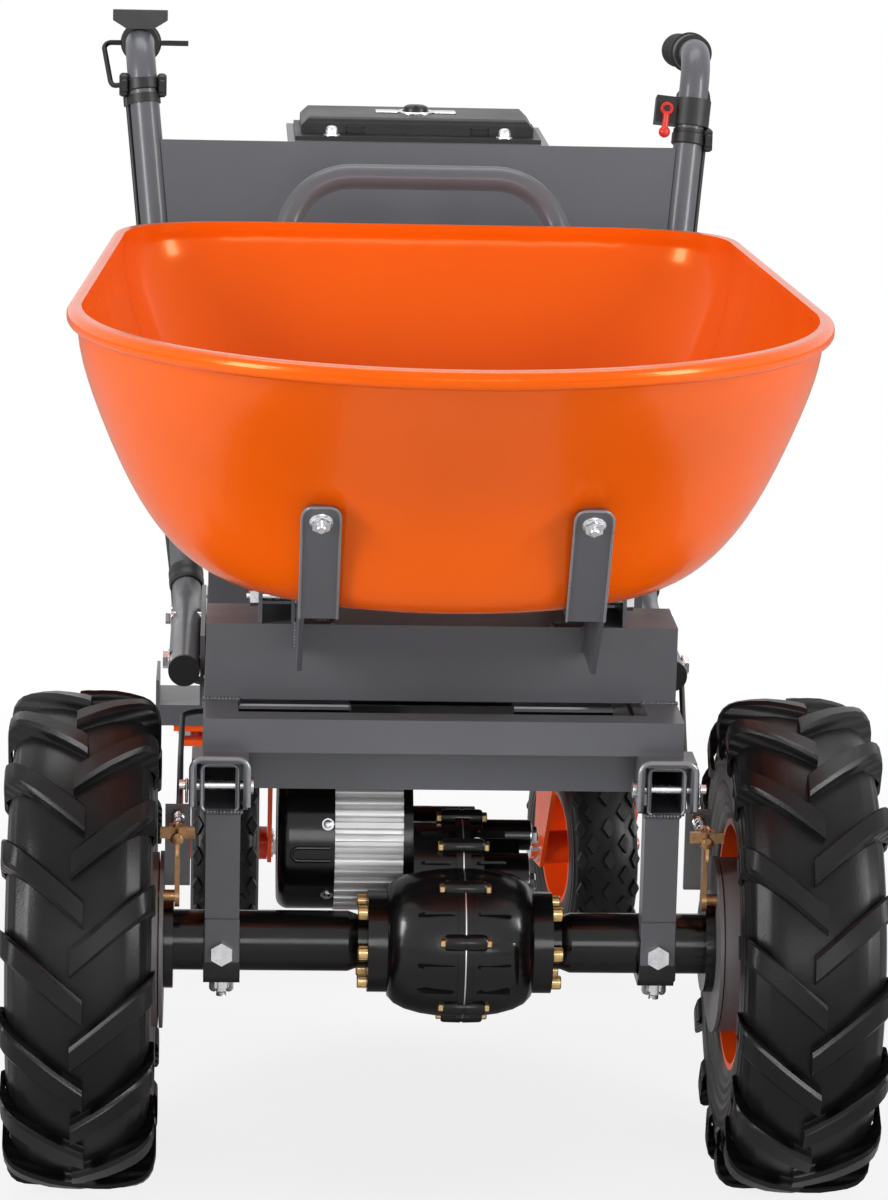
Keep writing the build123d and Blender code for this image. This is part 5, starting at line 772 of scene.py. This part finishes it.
gearbox = {
    "splitX": 20, "bossHalf": 17, "bossR": 6.8, "bellyR": 61, "bellyAt": (62, 16, -44, -84, -128, -165),
    "idler": (49.0, 243.0), "idlerR": 54, "idlerAt": (96, 48, 14, 140), "motor": (92.56, 271.4),
    "ribs": [(0.0, axleHigh, 60.5, (-3, -26, 38), 4.0, 15), (49.0, 243.0, 50, (68, 33, 0), 3.6, 13)],
    "ribOff": (-24, 22), "flanges": ((-59, -1), (93, 1)), "pitch": 34, "screws": 6,
    "endX": {"motor": 80, "idler": 76},
}
capScrew = {
    "head": [(0, 5.2), (0.5, 5.6), (7.6, 5.6), (8.4, 5.0), (8.4, 2.9), (4.5, 2.9)],
    "knurls": 18, "knurlAt": (5.5, 0.9), "knurl": [(0, 0.35), (6.4, 0.35)],
    "shaft": [(-15.8, 2.6), (-15.4, 3.0), (0.2, 3.0)],
}
belly = {
    "swell": [(-60, 38), (-59.5, 45), (-54, 51), (-45, 55.6), (-32, 59.2), (-18, 61.2)],
    "crest": (-6.5, 62), "middle": 17, "gap": 6.2, "lipR": 62, "lipIn": 55,
    "panelX": (33, 64), "panelAt": (-30, 16), "panelHigh": 1.8, "edgeHigh": 0.2, "ease": 5, "sunk": 4,
    "across": 8, "around": 12,
}


def aboutAxle(y, z, r, angle):  # angle from straight ahead, upwards
    a = radians(angle)
    return y - r * cos(a), z + r * sin(a)


def outward(angle):
    return 0, -cos(radians(angle)), sin(radians(angle))


def makeSplit():
    half = gearbox["bossHalf"]
    r = gearbox["bossR"]
    spots = [aboutAxle(0, axleHigh, gearbox["bellyR"], angle) for angle in gearbox["bellyAt"]]
    spots += [aboutAxle(*gearbox["idler"], gearbox["idlerR"], angle) for angle in gearbox["idlerAt"]]
    places = [(fromAxle(gearbox["splitX"], y, z), (1, 0, 0)) for y, z in spots]
    boss = lathe([(-half, r * 0.86), (-half + 2, r), (-1.2, r * 1.06), (-0.9, r * 0.97),
                  (0.9, r * 0.97), (1.2, r * 1.06), (half - 2, r), (half, r * 0.86)], 24)
    nut = lathe([(-half - 0.2, 4.4), (-half - 3.6, 4.4), (-half - 4.2, 3.8)], 6)
    addSeated("split_bosses", pattern("splitBoss", [boss]), places, "castPaint")
    addSeated("split_screws", pattern("splitScrew", [hexHead(4.6, 4.2, half), nut]), places, "yellowZinc")


def makeRibs():
    ribs = []
    for number, (y0, z0, r0, angles, height, long) in enumerate(gearbox["ribs"]):
        rings = []
        for x, tall in ((-long, -1.5), (-long + 5, height * 0.8), (long - 4, height), (long, height * 0.7)):
            rings.append([(x, -1.9, -3), (x, 1.9, -3), (x, 1.1, tall), (x, -1.1, tall)])
        fin = pattern("caseRib%d" % number, [mm(*loft(rings))])
        seats = [(fromAxle(gearbox["splitX"] + off, *aboutAxle(y0, z0, r0, angle)), outward(angle))
                 for angle in angles for off in gearbox["ribOff"]]
        ribs.append(seated("case_ribs", fin, seats, "castPaint", finsRoundAxle))
    addPiece("case_ribs", joined("case_ribs", ribs), "castPaint")


def makeFlangeScrews():
    r, base = capScrew["knurlAt"]
    shapes = [lathe(capScrew["head"], 36)]
    for i in range(capScrew["knurls"]):
        a = 2 * pi * i / capScrew["knurls"]
        shapes.append(mm(*turnedOn((r * cos(a), r * sin(a), base), (0, 0, 1), capScrew["knurl"], 6)))
    shapes.append(lathe(capScrew["shaft"], 20))
    seats = []
    for face, side in gearbox["flanges"]:
        for i in range(gearbox["screws"]):
            a = 2 * pi * i / gearbox["screws"]
            spot = fromAxle(face, gearbox["pitch"] * cos(a), axleHigh + gearbox["pitch"] * sin(a))
            seats.append((spot, (side, 0, 0)))
    addSeated("flange_screws", pattern("capScrew", shapes), seats, "yellowZinc", nodes=("gearbox_bolts",))
    end = pattern("endBolt", [washer(9.5, 1.6), hexHead(7.4, 5.2, 1.6)])
    places = [(fromAxle(x, *gearbox[name]), (1, 0, 0)) for name, x in gearbox["endX"].items()]
    addSeated("boss_end_bolts", end, places, "zincPlate")


def swellAt(x):  # radius of the cast belly at x
    line = [(belly["middle"] + h, r) for h, r in belly["swell"] + [belly["crest"]]]
    near = belly["middle"] - abs(x - belly["middle"])
    for (x0, r0), (x1, r1) in zip(line, line[1:]):
        if x0 <= near <= x1:
            return r0 + (r1 - r0) * (near - x0) / (x1 - x0)
    return line[-1][1]


def makeBelly():
    centre = fromAxle(belly["middle"], 0, axleHigh)
    split = gearbox["splitX"] - belly["middle"]
    shapes = []
    for side in (-1, 1):
        edge = split + side * belly["gap"]
        outline = [(-side * h, r) for h, r in belly["swell"]]
        outline += [(edge, belly["lipR"]), (edge, belly["lipIn"])]
        shapes.append(turnedOn(centre, (1, 0, 0), inMetres(outline), 72))
    low, high = belly["panelAt"]
    x0, x1 = belly["panelX"]
    across, around = belly["across"], belly["around"]
    rings = []
    for i in range(across + 1):
        x = x0 + (x1 - x0) * i / across
        atEnd = i in (0, across)
        ease = belly["ease"] if atEnd else 0
        outer = []
        for j in range(around + 1):
            tall = belly["edgeHigh"] if atEnd or j in (0, around) else belly["panelHigh"]
            outer.append((low + ease + (high - low - 2 * ease) * j / around, swellAt(x) + tall))
        inner = [(angle, swellAt(x) - belly["sunk"]) for angle, _ in reversed(outer)]
        rings.append([fromAxle(x, *aboutAxle(0, axleHigh, r, angle)) for angle, r in outer + inner])
    shapes.append(loft(rings))
    addShapes("gearbox_belly", shapes, "castPaint", sharp=40)


makeSplit()
makeRibs()
makeFlangeScrews()
makeBelly()
print("gearbox dressed")

# Motor: screws round the bell, cooling fins and the raised slot for the lead

motor = {
    "bellR": 63.5, "slotAt": (-6, 4), "slotX": (-90, -116), "slotRound": 6, "slotLip": 0.0016,
    "screwX": -92, "screwAt": (22, 58, 142, 202, 322),
    "screw": [(0.9, 3.9), (2.2, 3.6), (3.2, 2.2), (3.4, 0.4)],
    "finX": (-86, -29), "fins": 38, "start": 0.04, "coreR": 60.4, "finR": 64.4, "finWide": (7.4, 6.0),
    "finEdge": 0.7,
}


def makeMotor():
    y0, z0 = gearbox["motor"]
    pan = pattern("panScrew", [washer(5.2, 0.9), lathe(motor["screw"], 20)])
    seats = [(fromAxle(motor["screwX"], *aboutAxle(y0, z0, motor["bellR"], angle)), outward(angle))
             for angle in motor["screwAt"]]
    addSeated("bell_screws", pan, seats, "zincPlate")
    first, last = motor["finX"]
    coreR, finR, edge = motor["coreR"], motor["finR"], motor["finEdge"]
    outline = [(0, coreR / 1000), ((last - first) / 1000, coreR / 1000)]
    core = toMesh("motor_core", [turnedOn(fromAxle(first, y0, z0), (1, 0, 0), outline, 96)])
    base, top = (wide / 2 for wide in motor["finWide"])
    section = ((-base, coreR - 1), (base, coreR - 1), (top, finR - edge), (top - edge, finR),
               (edge - top, finR), (-top, finR - edge))
    fin = pattern("motorFin", [mm(*loft([[(x, u, r) for u, r in section] for x in (first, last)]))], 50)
    fins = ringed("motor_fins", fin, "motorAluminium", motor["fins"], motor["start"], fromAxle(0, y0, z0))
    finned = joined("finned_motor", [core, fins], 45)
    addPiece("finned_motor", finned, "motorAluminium", nodes=("motor_body",))
    low, high = motor["slotAt"]
    near, far = motor["slotX"]
    path = [(near + (far - near) * i / 7, low) for i in range(8)]
    for i in range(1, 10):
        a = pi * i / 10
        path.append((far - motor["slotRound"] * sin(a), (low + high) / 2 - (high - low) / 2 * cos(a)))
    path += [(far + (near - far) * i / 7, high) for i in range(8)]
    line = [fromAxle(x, *aboutAxle(y0, z0, motor["bellR"], angle)) for x, angle in path]
    addShapes("bell_slot_lip", [swept(line, motor["slotLip"], 10)], "axlePaint")


makeMotor()
print("motor dressed")

# Bolts of the frame: washers under the heads; castle nuts with studs, feet and folded tabs at the legs

frameBolts = {"washerX": 228.2, "handleBolts": ((318, 367), (470, 373))}
legs = {
    "x": 179, "castle": (-12.5, 183),
    "castleRing": ((6.4, 0.16), (10.2, 0.16), (10.5, 0.5), (10.2, 0.84), (6.4, 0.84)),
    "castleHigh": ((6.5, 1.0), (15.6, 1.0), (16.8, 0.92)), "slots": 6,
    "foot": ((-15, -18.6), (15, -18.6), (15, 12), (-15, 12)), "footY": -20,
    "footHigh": ((198.4, 0.96), (197.4, 1.0), (185, 1.0), (182.6, 0.92)),
    "tabHalf": 14.4, "tabY": (-38.7, -36.2), "tabZ": (196.6, 234), "tabEdge": 0.8,
}


def makeFrameBolts():
    seats = [(fromAxle(side * frameBolts["washerX"], y, z), (side, 0, 0))
             for side in (-1, 1) for y, z in frameBolts["handleBolts"]]
    addSeated("handle_washers", pattern("handleWasher", [washer(9.5, 1.4)]), seats, "zincPlate")


def makeLegs():
    thread = [(10 + h * 0.9, 4.4 if h % 2 else 3.9) for h in range(14)]
    castle = [washer(12.5, 1.9), lathe(thread, 20)]
    for i in range(legs["slots"]):
        turns = [(r, 2 * pi * (i + share) / legs["slots"]) for r, share in legs["castleRing"]]
        castle.append(mm(*loft([[(r * cos(a) * size, r * sin(a) * size, z) for r, a in turns]
                                for z, size in legs["castleHigh"]])))
    seats = [(fromAxle(side * legs["x"], *legs["castle"]), (0, 0, -1)) for side in (-1, 1)]
    addSeated("leg_castle_nuts", pattern("castleNut", castle), seats, "zincPlate")
    feet, tabs = [], []
    y0, y1 = legs["tabY"]
    z0, z1 = legs["tabZ"]
    for x in (-legs["x"], legs["x"]):
        feet.append(loft([[fromAxle(x + u * grow, legs["footY"] + v * grow, z) for u, v in legs["foot"]]
                          for z, grow in legs["footHigh"]]))
        tabs.append(softBox((x - legs["tabHalf"], y0, z0), (x + legs["tabHalf"], y1, z1), legs["tabEdge"]))
    addShapes("leg_feet", feet, "blackPlastic", slot="drive_black")
    addShapes("leg_tabs", tabs, "framePaint", sharp=25)


makeFrameBolts()
makeLegs()
print("frame bolts dressed")

# Brake cable ends: adjuster, spring and wing nut at each brake arm

brakeEnds = {
    "x": 216, "seatY": 28, "z": 302, "armY": -18, "nutY": -35, "turns": 11, "steps": 14, "springR": 4.6,
    "wire": 0.9, "rod": 0.0011, "keep": 0.48,
    "barrel": [(47, 20, [(0, 0.0040), (0.001, 0.0046), (0.009, 0.0046), (0.0095, 0.0032)]),
               (34, 6, [(0, 0.0062), (0.0045, 0.0062)]),
               (29.5, 16, [(0, 0.0036), (0.006, 0.0034), (0.007, 0.0024)])],
    "nut": [(0, 0.0066), (0.007, 0.0050), (0.0075, 0.0038)],
    "wing": ((3, 2.4, 3.2), (8, 3.4, 2.4), (13, 3.8, 2.0), (15.5, 2.6, 1.6)), "wingY": 4, "wingLean": 0.25,
}


def onCable(side, y):
    return fromAxle(side * brakeEnds["x"], y, brakeEnds["z"])


def coilOf(side):
    coil = []
    start = brakeEnds["seatY"]
    count = brakeEnds["turns"] * brakeEnds["steps"]
    for i in range(count + 1):
        a = 2 * pi * i / brakeEnds["steps"]
        y = start + (brakeEnds["armY"] - start) * i / count
        coil.append(onCable(side, y) + Vector((cos(a), 0, sin(a))) * brakeEnds["springR"] / 1000)
    return coil


def wingOf(side, way):
    rings = []
    for reach, tall, thick in brakeEnds["wing"]:
        middle = onCable(side, brakeEnds["nutY"] - brakeEnds["wingY"] - reach * brakeEnds["wingLean"])
        middle += Vector((0, 0, way * reach / 1000))
        rings.append([middle + Vector((dx * thick / 2000, dy * tall / 1000, 0))
                      for dx, dy in ((-1, -1), (1, -1), (1, 1), (-1, 1))])
    return loft(rings)


def makeBrakeEnds():
    ahead = (0, -1, 0)
    for name, side in sides.items():
        barrel = [turnedOn(onCable(side, y), ahead, profile, steps)
                  for y, steps, profile in brakeEnds["barrel"]]
        addShapes("cable_adjuster_" + name, barrel, "darkenedYellowZinc")
        seat = onCable(side, brakeEnds["seatY"])
        rod = swept([seat, onCable(side, brakeEnds["armY"])], brakeEnds["rod"], 8)
        spring = [swept(coilOf(side), brakeEnds["wire"] / 1000, 8), rod]
        piece = addShapes("brake_spring_" + name, spring, "zincPlate")
        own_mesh(piece)
        nut = turnedOn(onCable(side, brakeEnds["nutY"]), ahead, brakeEnds["nut"], 20)
        wings = [wingOf(side, way) for way in (-1, 1)]
        addShapes("wing_nut_" + name, [nut] + wings, "darkenedYellowZinc", "brake_arm_" + name, sharp=45)


makeBrakeEnds()
print("brake ends made")

# Handles: ribbed grips, strap clamps near the top and collars on the low bends

handles = {"elbow": (268, 740, 872), "end": (268, 930, 858), "low": (215, 600, 367), "bend": 80}
grip = {
    "from": 72.3, "past": 0.12, "bore": 14.2, "flangeR": 20.0, "ribs": 15, "ribFrom": 16, "ribTo": 104,
    "flange": [(0, 1.4), (0.6, 0.4), (2, 0.1), (4.4, 0.3), (5.8, 1.6)],
    "neck": [(7.4, 17.2), (11.0, 16.3)], "tail": [(12, 16.3), (10, 16.9), (4, 16.9), (1.4, 16.0)],
    "rib": [(-1.5, 15.6), (-1.1, 16.6), (-0.5, 16.98), (0.5, 16.98), (1.1, 16.6), (1.5, 15.6)],
}
clamp = {
    "share": {-1: 0.925, 1: 0.842}, "r": 16.4, "bore": 13.9, "high": 11, "edge": (0.8, 0.6),
    "earsOn": {-1: (-1, 1), 1: (1,)}, "earX": (13.5, 22.5),
    "ear": ((0, 0), (-9, 6), 11, 2.0),  # X and Y span, half height, edge
    "pad": ((1.5, -1), (-12, -8.6), 6, 1.0),
}
collar = {"from": 28, "to": 45, "radii": [15.5, 16.4, 16.6, 16.6, 16.2, 16.6, 16.6, 16.4, 15.5]}


def onSide(side, spot):
    return fromAxle(side * spot[0], *spot[1:])


def upright(side, share):  # a spot on the leaning part of the tube and the way that it points
    x0, y0, z0 = handles["low"]
    x1, y1, z1 = handles["elbow"]
    spot = fromAxle(side * (x0 + (x1 - x0) * share), y0 + (y1 - y0) * share, z0 + (z1 - z0) * share)
    return spot, Vector((side * (x1 - x0), y1 - y0, z1 - z0)).normalized()


def makeGrips():
    rib = pattern("gripRib", [mm(*hooped((0, 0, 0), (0, 0, 1), grip["rib"], 40))])
    shapes, seats = [], []
    for side in (-1, 1):
        elbow = onSide(side, handles["elbow"])
        end = onSide(side, handles["end"])
        along = (end - elbow).normalized()
        place = elbow + along * grip["from"] / 1000
        long = (end - place).length * 1000 + grip["past"]
        outline = [(0, grip["bore"])] + [(h, grip["flangeR"] - under) for h, under in grip["flange"]]
        outline += grip["neck"] + [(long - h, r) for h, r in grip["tail"]] + [(long, grip["bore"])]
        shapes.append(turnedOn(place, along, inMetres(outline), 48))
        for i in range(grip["ribs"]):
            h = grip["ribFrom"] + (grip["ribTo"] - grip["ribFrom"]) * i / (grip["ribs"] - 1)
            seats.append((place + along * h / 1000, along))
    bodies = toMesh("ribbed_grips", shapes)
    ribs = seated("grip_ribs", rib, seats, "gripRubber")
    addPiece("ribbed_grips", joined("ribbed_grips", [bodies, ribs]), "gripRubber", nodes=("grips",))


def makeClamps():
    r, half = clamp["r"], clamp["high"] / 2
    rise, ease = clamp["edge"]
    band = [(-half, clamp["bore"]), (-half, r - ease), (rise - half, r), (half - rise, r), (half, r - ease),
            (half, clamp["bore"])]
    shapes = []
    for side in (-1, 1):
        spot, way = upright(side, clamp["share"][side])
        shapes.append(hooped(spot, way, inMetres(band)))
        x, y, z = spot.x * 1000, (spot.y - axleY) * 1000, spot.z * 1000
        for out in clamp["earsOn"][side]:
            near, far = sorted(x + out * off for off in clamp["earX"])
            for (x0, x1), (y0, y1), tall, edge in (clamp["ear"], clamp["pad"]):
                shapes.append(softBox((near + x0, y + y0, z - tall), (far + x1, y + y1, z + tall), edge))
    addShapes("strap_clamps", shapes, "blackPlastic")


def makeCollars():
    level = Vector((0, 1, 0))
    bend = handles["bend"] / 1000
    shapes = []
    for side in (-1, 1):
        lean = upright(side, 0)[1]
        turn = level.angle(lean)
        inward = (lean - level * lean.dot(level)).normalized()
        start = onSide(side, handles["low"]) - level * bend * sin(turn / 2) / cos(turn / 2)
        centre = start + inward * bend
        path = []
        for i in range(9):
            a = radians(collar["from"] + (collar["to"] - collar["from"]) * i / 8)
            path.append(centre - inward * bend * cos(a) + level * bend * sin(a))
        shapes.append(swept(path, [r / 1000 for r in collar["radii"]], 36))
    addShapes("bend_collars", shapes, "blackPlastic")


makeGrips()
makeClamps()
makeCollars()
print("handles dressed")

# Console: plate round the knob, bolt caps, the knob itself and two blank recesses in the front

console = {
    "knob": (0, 798.4, 805), "plateX": (17.5, 39), "plateHalf": 10, "plateZ": (0.05, 1.5), "plateEdge": 0.5,
    "plateRing": [(0.05, 13.2), (0.05, 18.6), (1.2, 18.6), (1.6, 18.1), (1.6, 13.2)],
    "knobTurn": [(-10, 2.8), (0.3, 2.8), (0.3, 11.6), (1.0, 12.2), (4.2, 12.0), (6.0, 11.0), (7.2, 8.4),
                 (7.6, 1)],
    "markHalf": 1.7, "markY": (-11.2, -2), "markZ": (5, 8.2), "markEdge": 0.6,
    "capX": 83, "capAt": (728.4, 789.2), "cap": [(1.2, 6.2), (4.5, 6.2), (7.2, 5.4), (9.0, 3.6), (9.6, 0.6)],
    "recessX": (-60, 60), "recessHalf": 9, "recessY": (742.6, 744.0), "recessZ": (789.5, 796.5),
    "recessBar": 1.6, "recessEdge": 0.3,
}


def makeConsole():
    y, z = console["knob"][1:]
    spot = fromAxle(*console["knob"])
    near, far = console["plateX"]
    half = console["plateHalf"]
    low, high = (z + rise for rise in console["plateZ"])
    plate = [hooped(spot, (0, 0, 1), inMetres(console["plateRing"]), 48)]
    for x0, x1 in ((-far, -near), (near, far)):
        plate.append(softBox((x0, y - half, low), (x1, y + half, high), console["plateEdge"]))
    addShapes("knob_plate", plate, "zincPlate")
    cap = pattern("boltCap", [washer(8.2, 1.2), lathe(console["cap"], 28)])
    places = [(fromAxle(side * console["capX"], *console["capAt"]), (0, 0, 1)) for side in (-1, 1)]
    addSeated("console_caps", cap, places, "zincPlate")
    half = console["markHalf"]
    y0, y1 = (y + off for off in console["markY"])
    z0, z1 = (z + off for off in console["markZ"])
    knob = [turnedOn(spot, (0, 0, 1), inMetres(console["knobTurn"]), 48)]
    knob.append(softBox((-half, y0, z0), (half, y1, z1), console["markEdge"]))
    addShapes("round_key_knob", knob, "blackPlastic", "key_knob", ("key_knob",))


def makeRecesses():
    bar = console["recessBar"]
    y0, y1 = console["recessY"]
    low, high = console["recessZ"]
    frames = []
    for x in console["recessX"]:
        left, right = x - console["recessHalf"], x + console["recessHalf"]
        for x0, x1, z0, z1 in ((left, right, low, low + bar), (left, right, high - bar, high),
                               (left, left + bar, low, high), (right - bar, right, low, high)):
            frames.append(softBox((x0, y0, z0), (x1, y1, z1), console["recessEdge"]))
    addShapes("console_recess_frames", frames, "blackPlastic")


makeConsole()
makeRecesses()
print("console dressed")

# Welds, as runs of drops along the joins of the steelwork

welds = {
    "spacing": 0.0027, "size": 0.0021, "seed": 11,
    "leg": ((165, -37), (193, -37), (193, -9), (165, -9), (165, -37)), "legZ": 324,
    "crossX": 167, "crossY": ((10, 40), (300, 330)), "railZ": (332, 364), "plateX": 197, "plateY": (288, 500),
    "tipX": (168, 195), "tipY": (44, 120, 360, 436), "tipZ": 399,
    "strapX": 106, "strapFoot": ((-15, 46), (-15, 60), (15, 60), (15, 46)), "strapZ": 463,
    "gussetX": (121, 117), "gussetY": 44, "gussetZ": (444, 463),
    "hoop": (127.5, 469, 399.5), "hoopR": 12.4, "hoopSteps": 24,
}


def lineMesh(name, paths):
    points, edges = [], []
    for path in paths:
        base = len(points)
        points.extend(tuple(p) for p in path)
        edges.extend((base + i, base + i + 1) for i in range(len(path) - 1))
    mesh = bpy.data.meshes.new(name)
    mesh.from_pydata(points, edges, [])
    return mesh


def chassisRuns(side):
    low, high = welds["railZ"]
    front, back = welds["plateY"]
    runs = [[(side * x, y, welds["legZ"]) for x, y in welds["leg"]]]
    for y0, y1 in welds["crossY"]:
        corners = ((y0, low), (y0, high), (y1, high), (y1, low), (y0, low))
        runs.append([(side * welds["crossX"], y, z) for y, z in corners])
    for ends in (((front, low), (back, low)), ((front, high), (back, high)),
                 ((front, low), (front, high)), ((back, low), (back, high))):
        runs.append([(side * welds["plateX"], y, z) for y, z in ends])
    return runs


def tippingRuns(side):
    runs = [[(side * x, y, welds["tipZ"]) for x in welds["tipX"]] for y in welds["tipY"]]
    runs.append([(side * welds["strapX"] + x, y, welds["strapZ"]) for x, y in welds["strapFoot"]])
    runs += [[(side * x, welds["gussetY"], z) for z in welds["gussetZ"]] for x in welds["gussetX"]]
    x, y, z = welds["hoop"]
    turns = [2 * pi * i / welds["hoopSteps"] for i in range(welds["hoopSteps"] + 1)]
    runs.append([(side * x + welds["hoopR"] * cos(a), y + welds["hoopR"] * sin(a), z) for a in turns])
    return runs


def makeWelds():
    values = {"Spacing": welds["spacing"], "Size": welds["size"], "Seed": welds["seed"]}
    for name, runsOf, body in (("chassis_welds", chassisRuns, "chassis"),
                               ("tipping_welds", tippingRuns, "tub")):
        runs = [[fromAxle(*p) for p in run] for side in (-1, 1) for run in runsOf(side)]
        addPiece(name, grown(name, weldRun, "framePaint", values, lineMesh(name, runs)), "framePaint", body)


makeWelds()
print("welds laid")

# Painted highlights on the edges of the clevis plates and of the open rail ends, as thin bars in a lighter
# grey

clevis = {"x": 182, "half": 23, "top": 371, "foot": 331, "round": 9, "front": -46.2, "edge": 0.0022,
          "railHalf": 15, "railTop": 364, "railLow": 324, "railFront": -36.1, "railRound": 6, "lip": 0.0013}


def makeClevis():
    hoops, lips = [], []
    r = clevis["round"]
    h = clevis["half"]
    c = clevis["railRound"]
    w = clevis["railHalf"] - c
    low, high = clevis["railLow"] + c, clevis["railTop"] - c
    for side in (-1, 1):
        x = side * clevis["x"]
        line = [(x + h, clevis["foot"])] + corner(x + h - r, clevis["top"] - r, r, 0)
        line += corner(x - h + r, clevis["top"] - r, r, 90) + [(x - h, clevis["foot"])]
        hoops.append(swept([fromAxle(u, clevis["front"], v) for u, v in line], clevis["edge"], 10))
        line = corner(x + w, high, c, 0) + corner(x - w, high, c, 90) + corner(x - w, low, c, 180)
        line += corner(x + w, low, c, 270)
        line.append(line[0])
        lips.append(swept([fromAxle(u, clevis["railFront"], v) for u, v in line], clevis["lip"], 10))
    # thin lighter bars along the clevis and rail-end edges: painted highlights
    addShapes("clevis_edges", hoops, "edgeHighlightPaint", "tub")
    addShapes("rail_end_lips", lips, "edgeHighlightPaint")


makeClevis()

# Front straps: washers and stud ends at their bolts, painted highlights along the front edges as thin lighter
# bars

straps = {
    "x": 106, "half": 15, "foot": (-98, 500), "top": (-162, 602), "round": 9, "boltZ": 589, "edge": 0.0011,
    "washer": (9.4, 1.5), "collar": [(1.5, 8.6), (2.4, 8.6), (3.2, 7.4)],
    "stud": [(4.8, 3.9), (8.6, 3.9), (9.6, 3.0)],
}


def onStrap(side, across, z):  # a spot on the leaning front face
    (y0, z0), (y1, z1) = straps["foot"], straps["top"]
    return fromAxle(side * straps["x"] + across, y0 + (y1 - y0) * (z - z0) / (z1 - z0), z)


def makeStraps():
    (y0, z0), (y1, z1) = straps["foot"], straps["top"]
    facing = Vector((0, z0 - z1, y1 - y0)).normalized()
    shapes = [washer(*straps["washer"]), lathe(straps["collar"], 36), lathe(straps["stud"], 24)]
    seats = [(onStrap(side, 0, straps["boltZ"]), facing) for side in (-1, 1)]
    addSeated("strap_washers", pattern("strapWasher", shapes), seats, "zincPlate", "tub")
    r = straps["round"]
    half = straps["half"]
    line = [(half, z0)] + corner(half - r, z1 - r, r, 0) + corner(r - half, z1 - r, r, 90) + [(-half, z0)]
    edges = [swept([onStrap(side, u, v) for u, v in line], straps["edge"], 8) for side in (-1, 1)]
    # thin lighter bars along the strap's front outline: painted highlights
    addShapes("strap_edges", edges, "edgeHighlightPaint", "tub")


makeStraps()
print("edges and straps dressed")

# Valve stems in the drive rims

valve = {
    "rootX": 316, "rootR": 99, "tipX": 333, "tipR": 80, "capAt": 0.0125,
    "stem": [(0, 6.2), (3, 5.0), (12, 4.4), (12.5, 3.6)], "cap": [(0, 3.4), (1, 3.8), (10, 3.8), (11.8, 2.8)],
}


def makeValves():
    for name, side in sides.items():
        root = fromAxle(side * valve["rootX"], 0, axleHigh + valve["rootR"])
        way = fromAxle(side * valve["tipX"], 0, axleHigh + valve["tipR"]) - root
        stem = turnedOn(root, way, inMetres(valve["stem"]), 24)
        cap = turnedOn(root + way.normalized() * valve["capAt"], way, inMetres(valve["cap"]), 10)
        addShapes("valve_stem_" + name, [stem], "gripRubber", "wheel_" + name)
        addShapes("valve_cap_" + name, [cap], "blackPlastic", "wheel_" + name)


makeValves()

# Casters' axle nuts, lip and screws of the battery case

casterNuts = {"reach": 0.045, "washer": (14, 1.6), "head": (11.8, 6.8, 1.6)}
batteryTrim = {
    "half": 100, "front": 733.4, "rear": 855.4, "lip": (774, 781.8), "proud": 1.6, "edge": 1.2,
    "screwX": 86, "screwZ": (654, 762), "screw": [(0.8, 3.8), (2.0, 3.4), (2.8, 2.0), (3.0, 0.4)],
}


def makeCasterNuts():
    head = pattern("axleHead", [washer(*casterNuts["washer"]), hexHead(*casterNuts["head"])])
    tip = pattern("axleTip", [lathe([(7.6 + h * 0.8, 6.5 if h % 2 else 6.1) for h in range(6)], 24)])
    for name, spot in casters.items():
        toe = radians(spot["toe"])
        way = Vector((cos(toe), sin(toe), 0))
        centre = fromAxle(spot["x"], spot["y"], casterHigh)
        ends = [(centre - way * casterNuts["reach"], -way), (centre + way * casterNuts["reach"], way)]
        nuts = joined("caster_nuts_" + name, [seated("caster_heads_" + name, head, ends, "zincPlate"),
                                              seated("caster_tips_" + name, tip, ends[1:], "zincPlate")])
        addPiece("caster_nuts_" + name, nuts, "zincPlate", "fork_" + name)


def makeBatteryTrim():
    proud = batteryTrim["proud"]
    half = batteryTrim["half"] + proud
    low, high = batteryTrim["lip"]
    lip = softBox((-half, batteryTrim["front"] - proud, low), (half, batteryTrim["rear"] + proud, high),
                  batteryTrim["edge"])
    addShapes("battery_case_lip", [lip], "blackPlastic")
    pan = pattern("caseScrew", [washer(5.0, 0.8), lathe(batteryTrim["screw"], 20)])
    places = [(fromAxle(side * batteryTrim["screwX"], batteryTrim["rear"], z), (0, 1, 0))
              for side in (-1, 1) for z in batteryTrim["screwZ"]]
    addSeated("battery_case_screws", pan, places, "zincPlate")


makeCasterNuts()
makeBatteryTrim()
print("rear dressed")
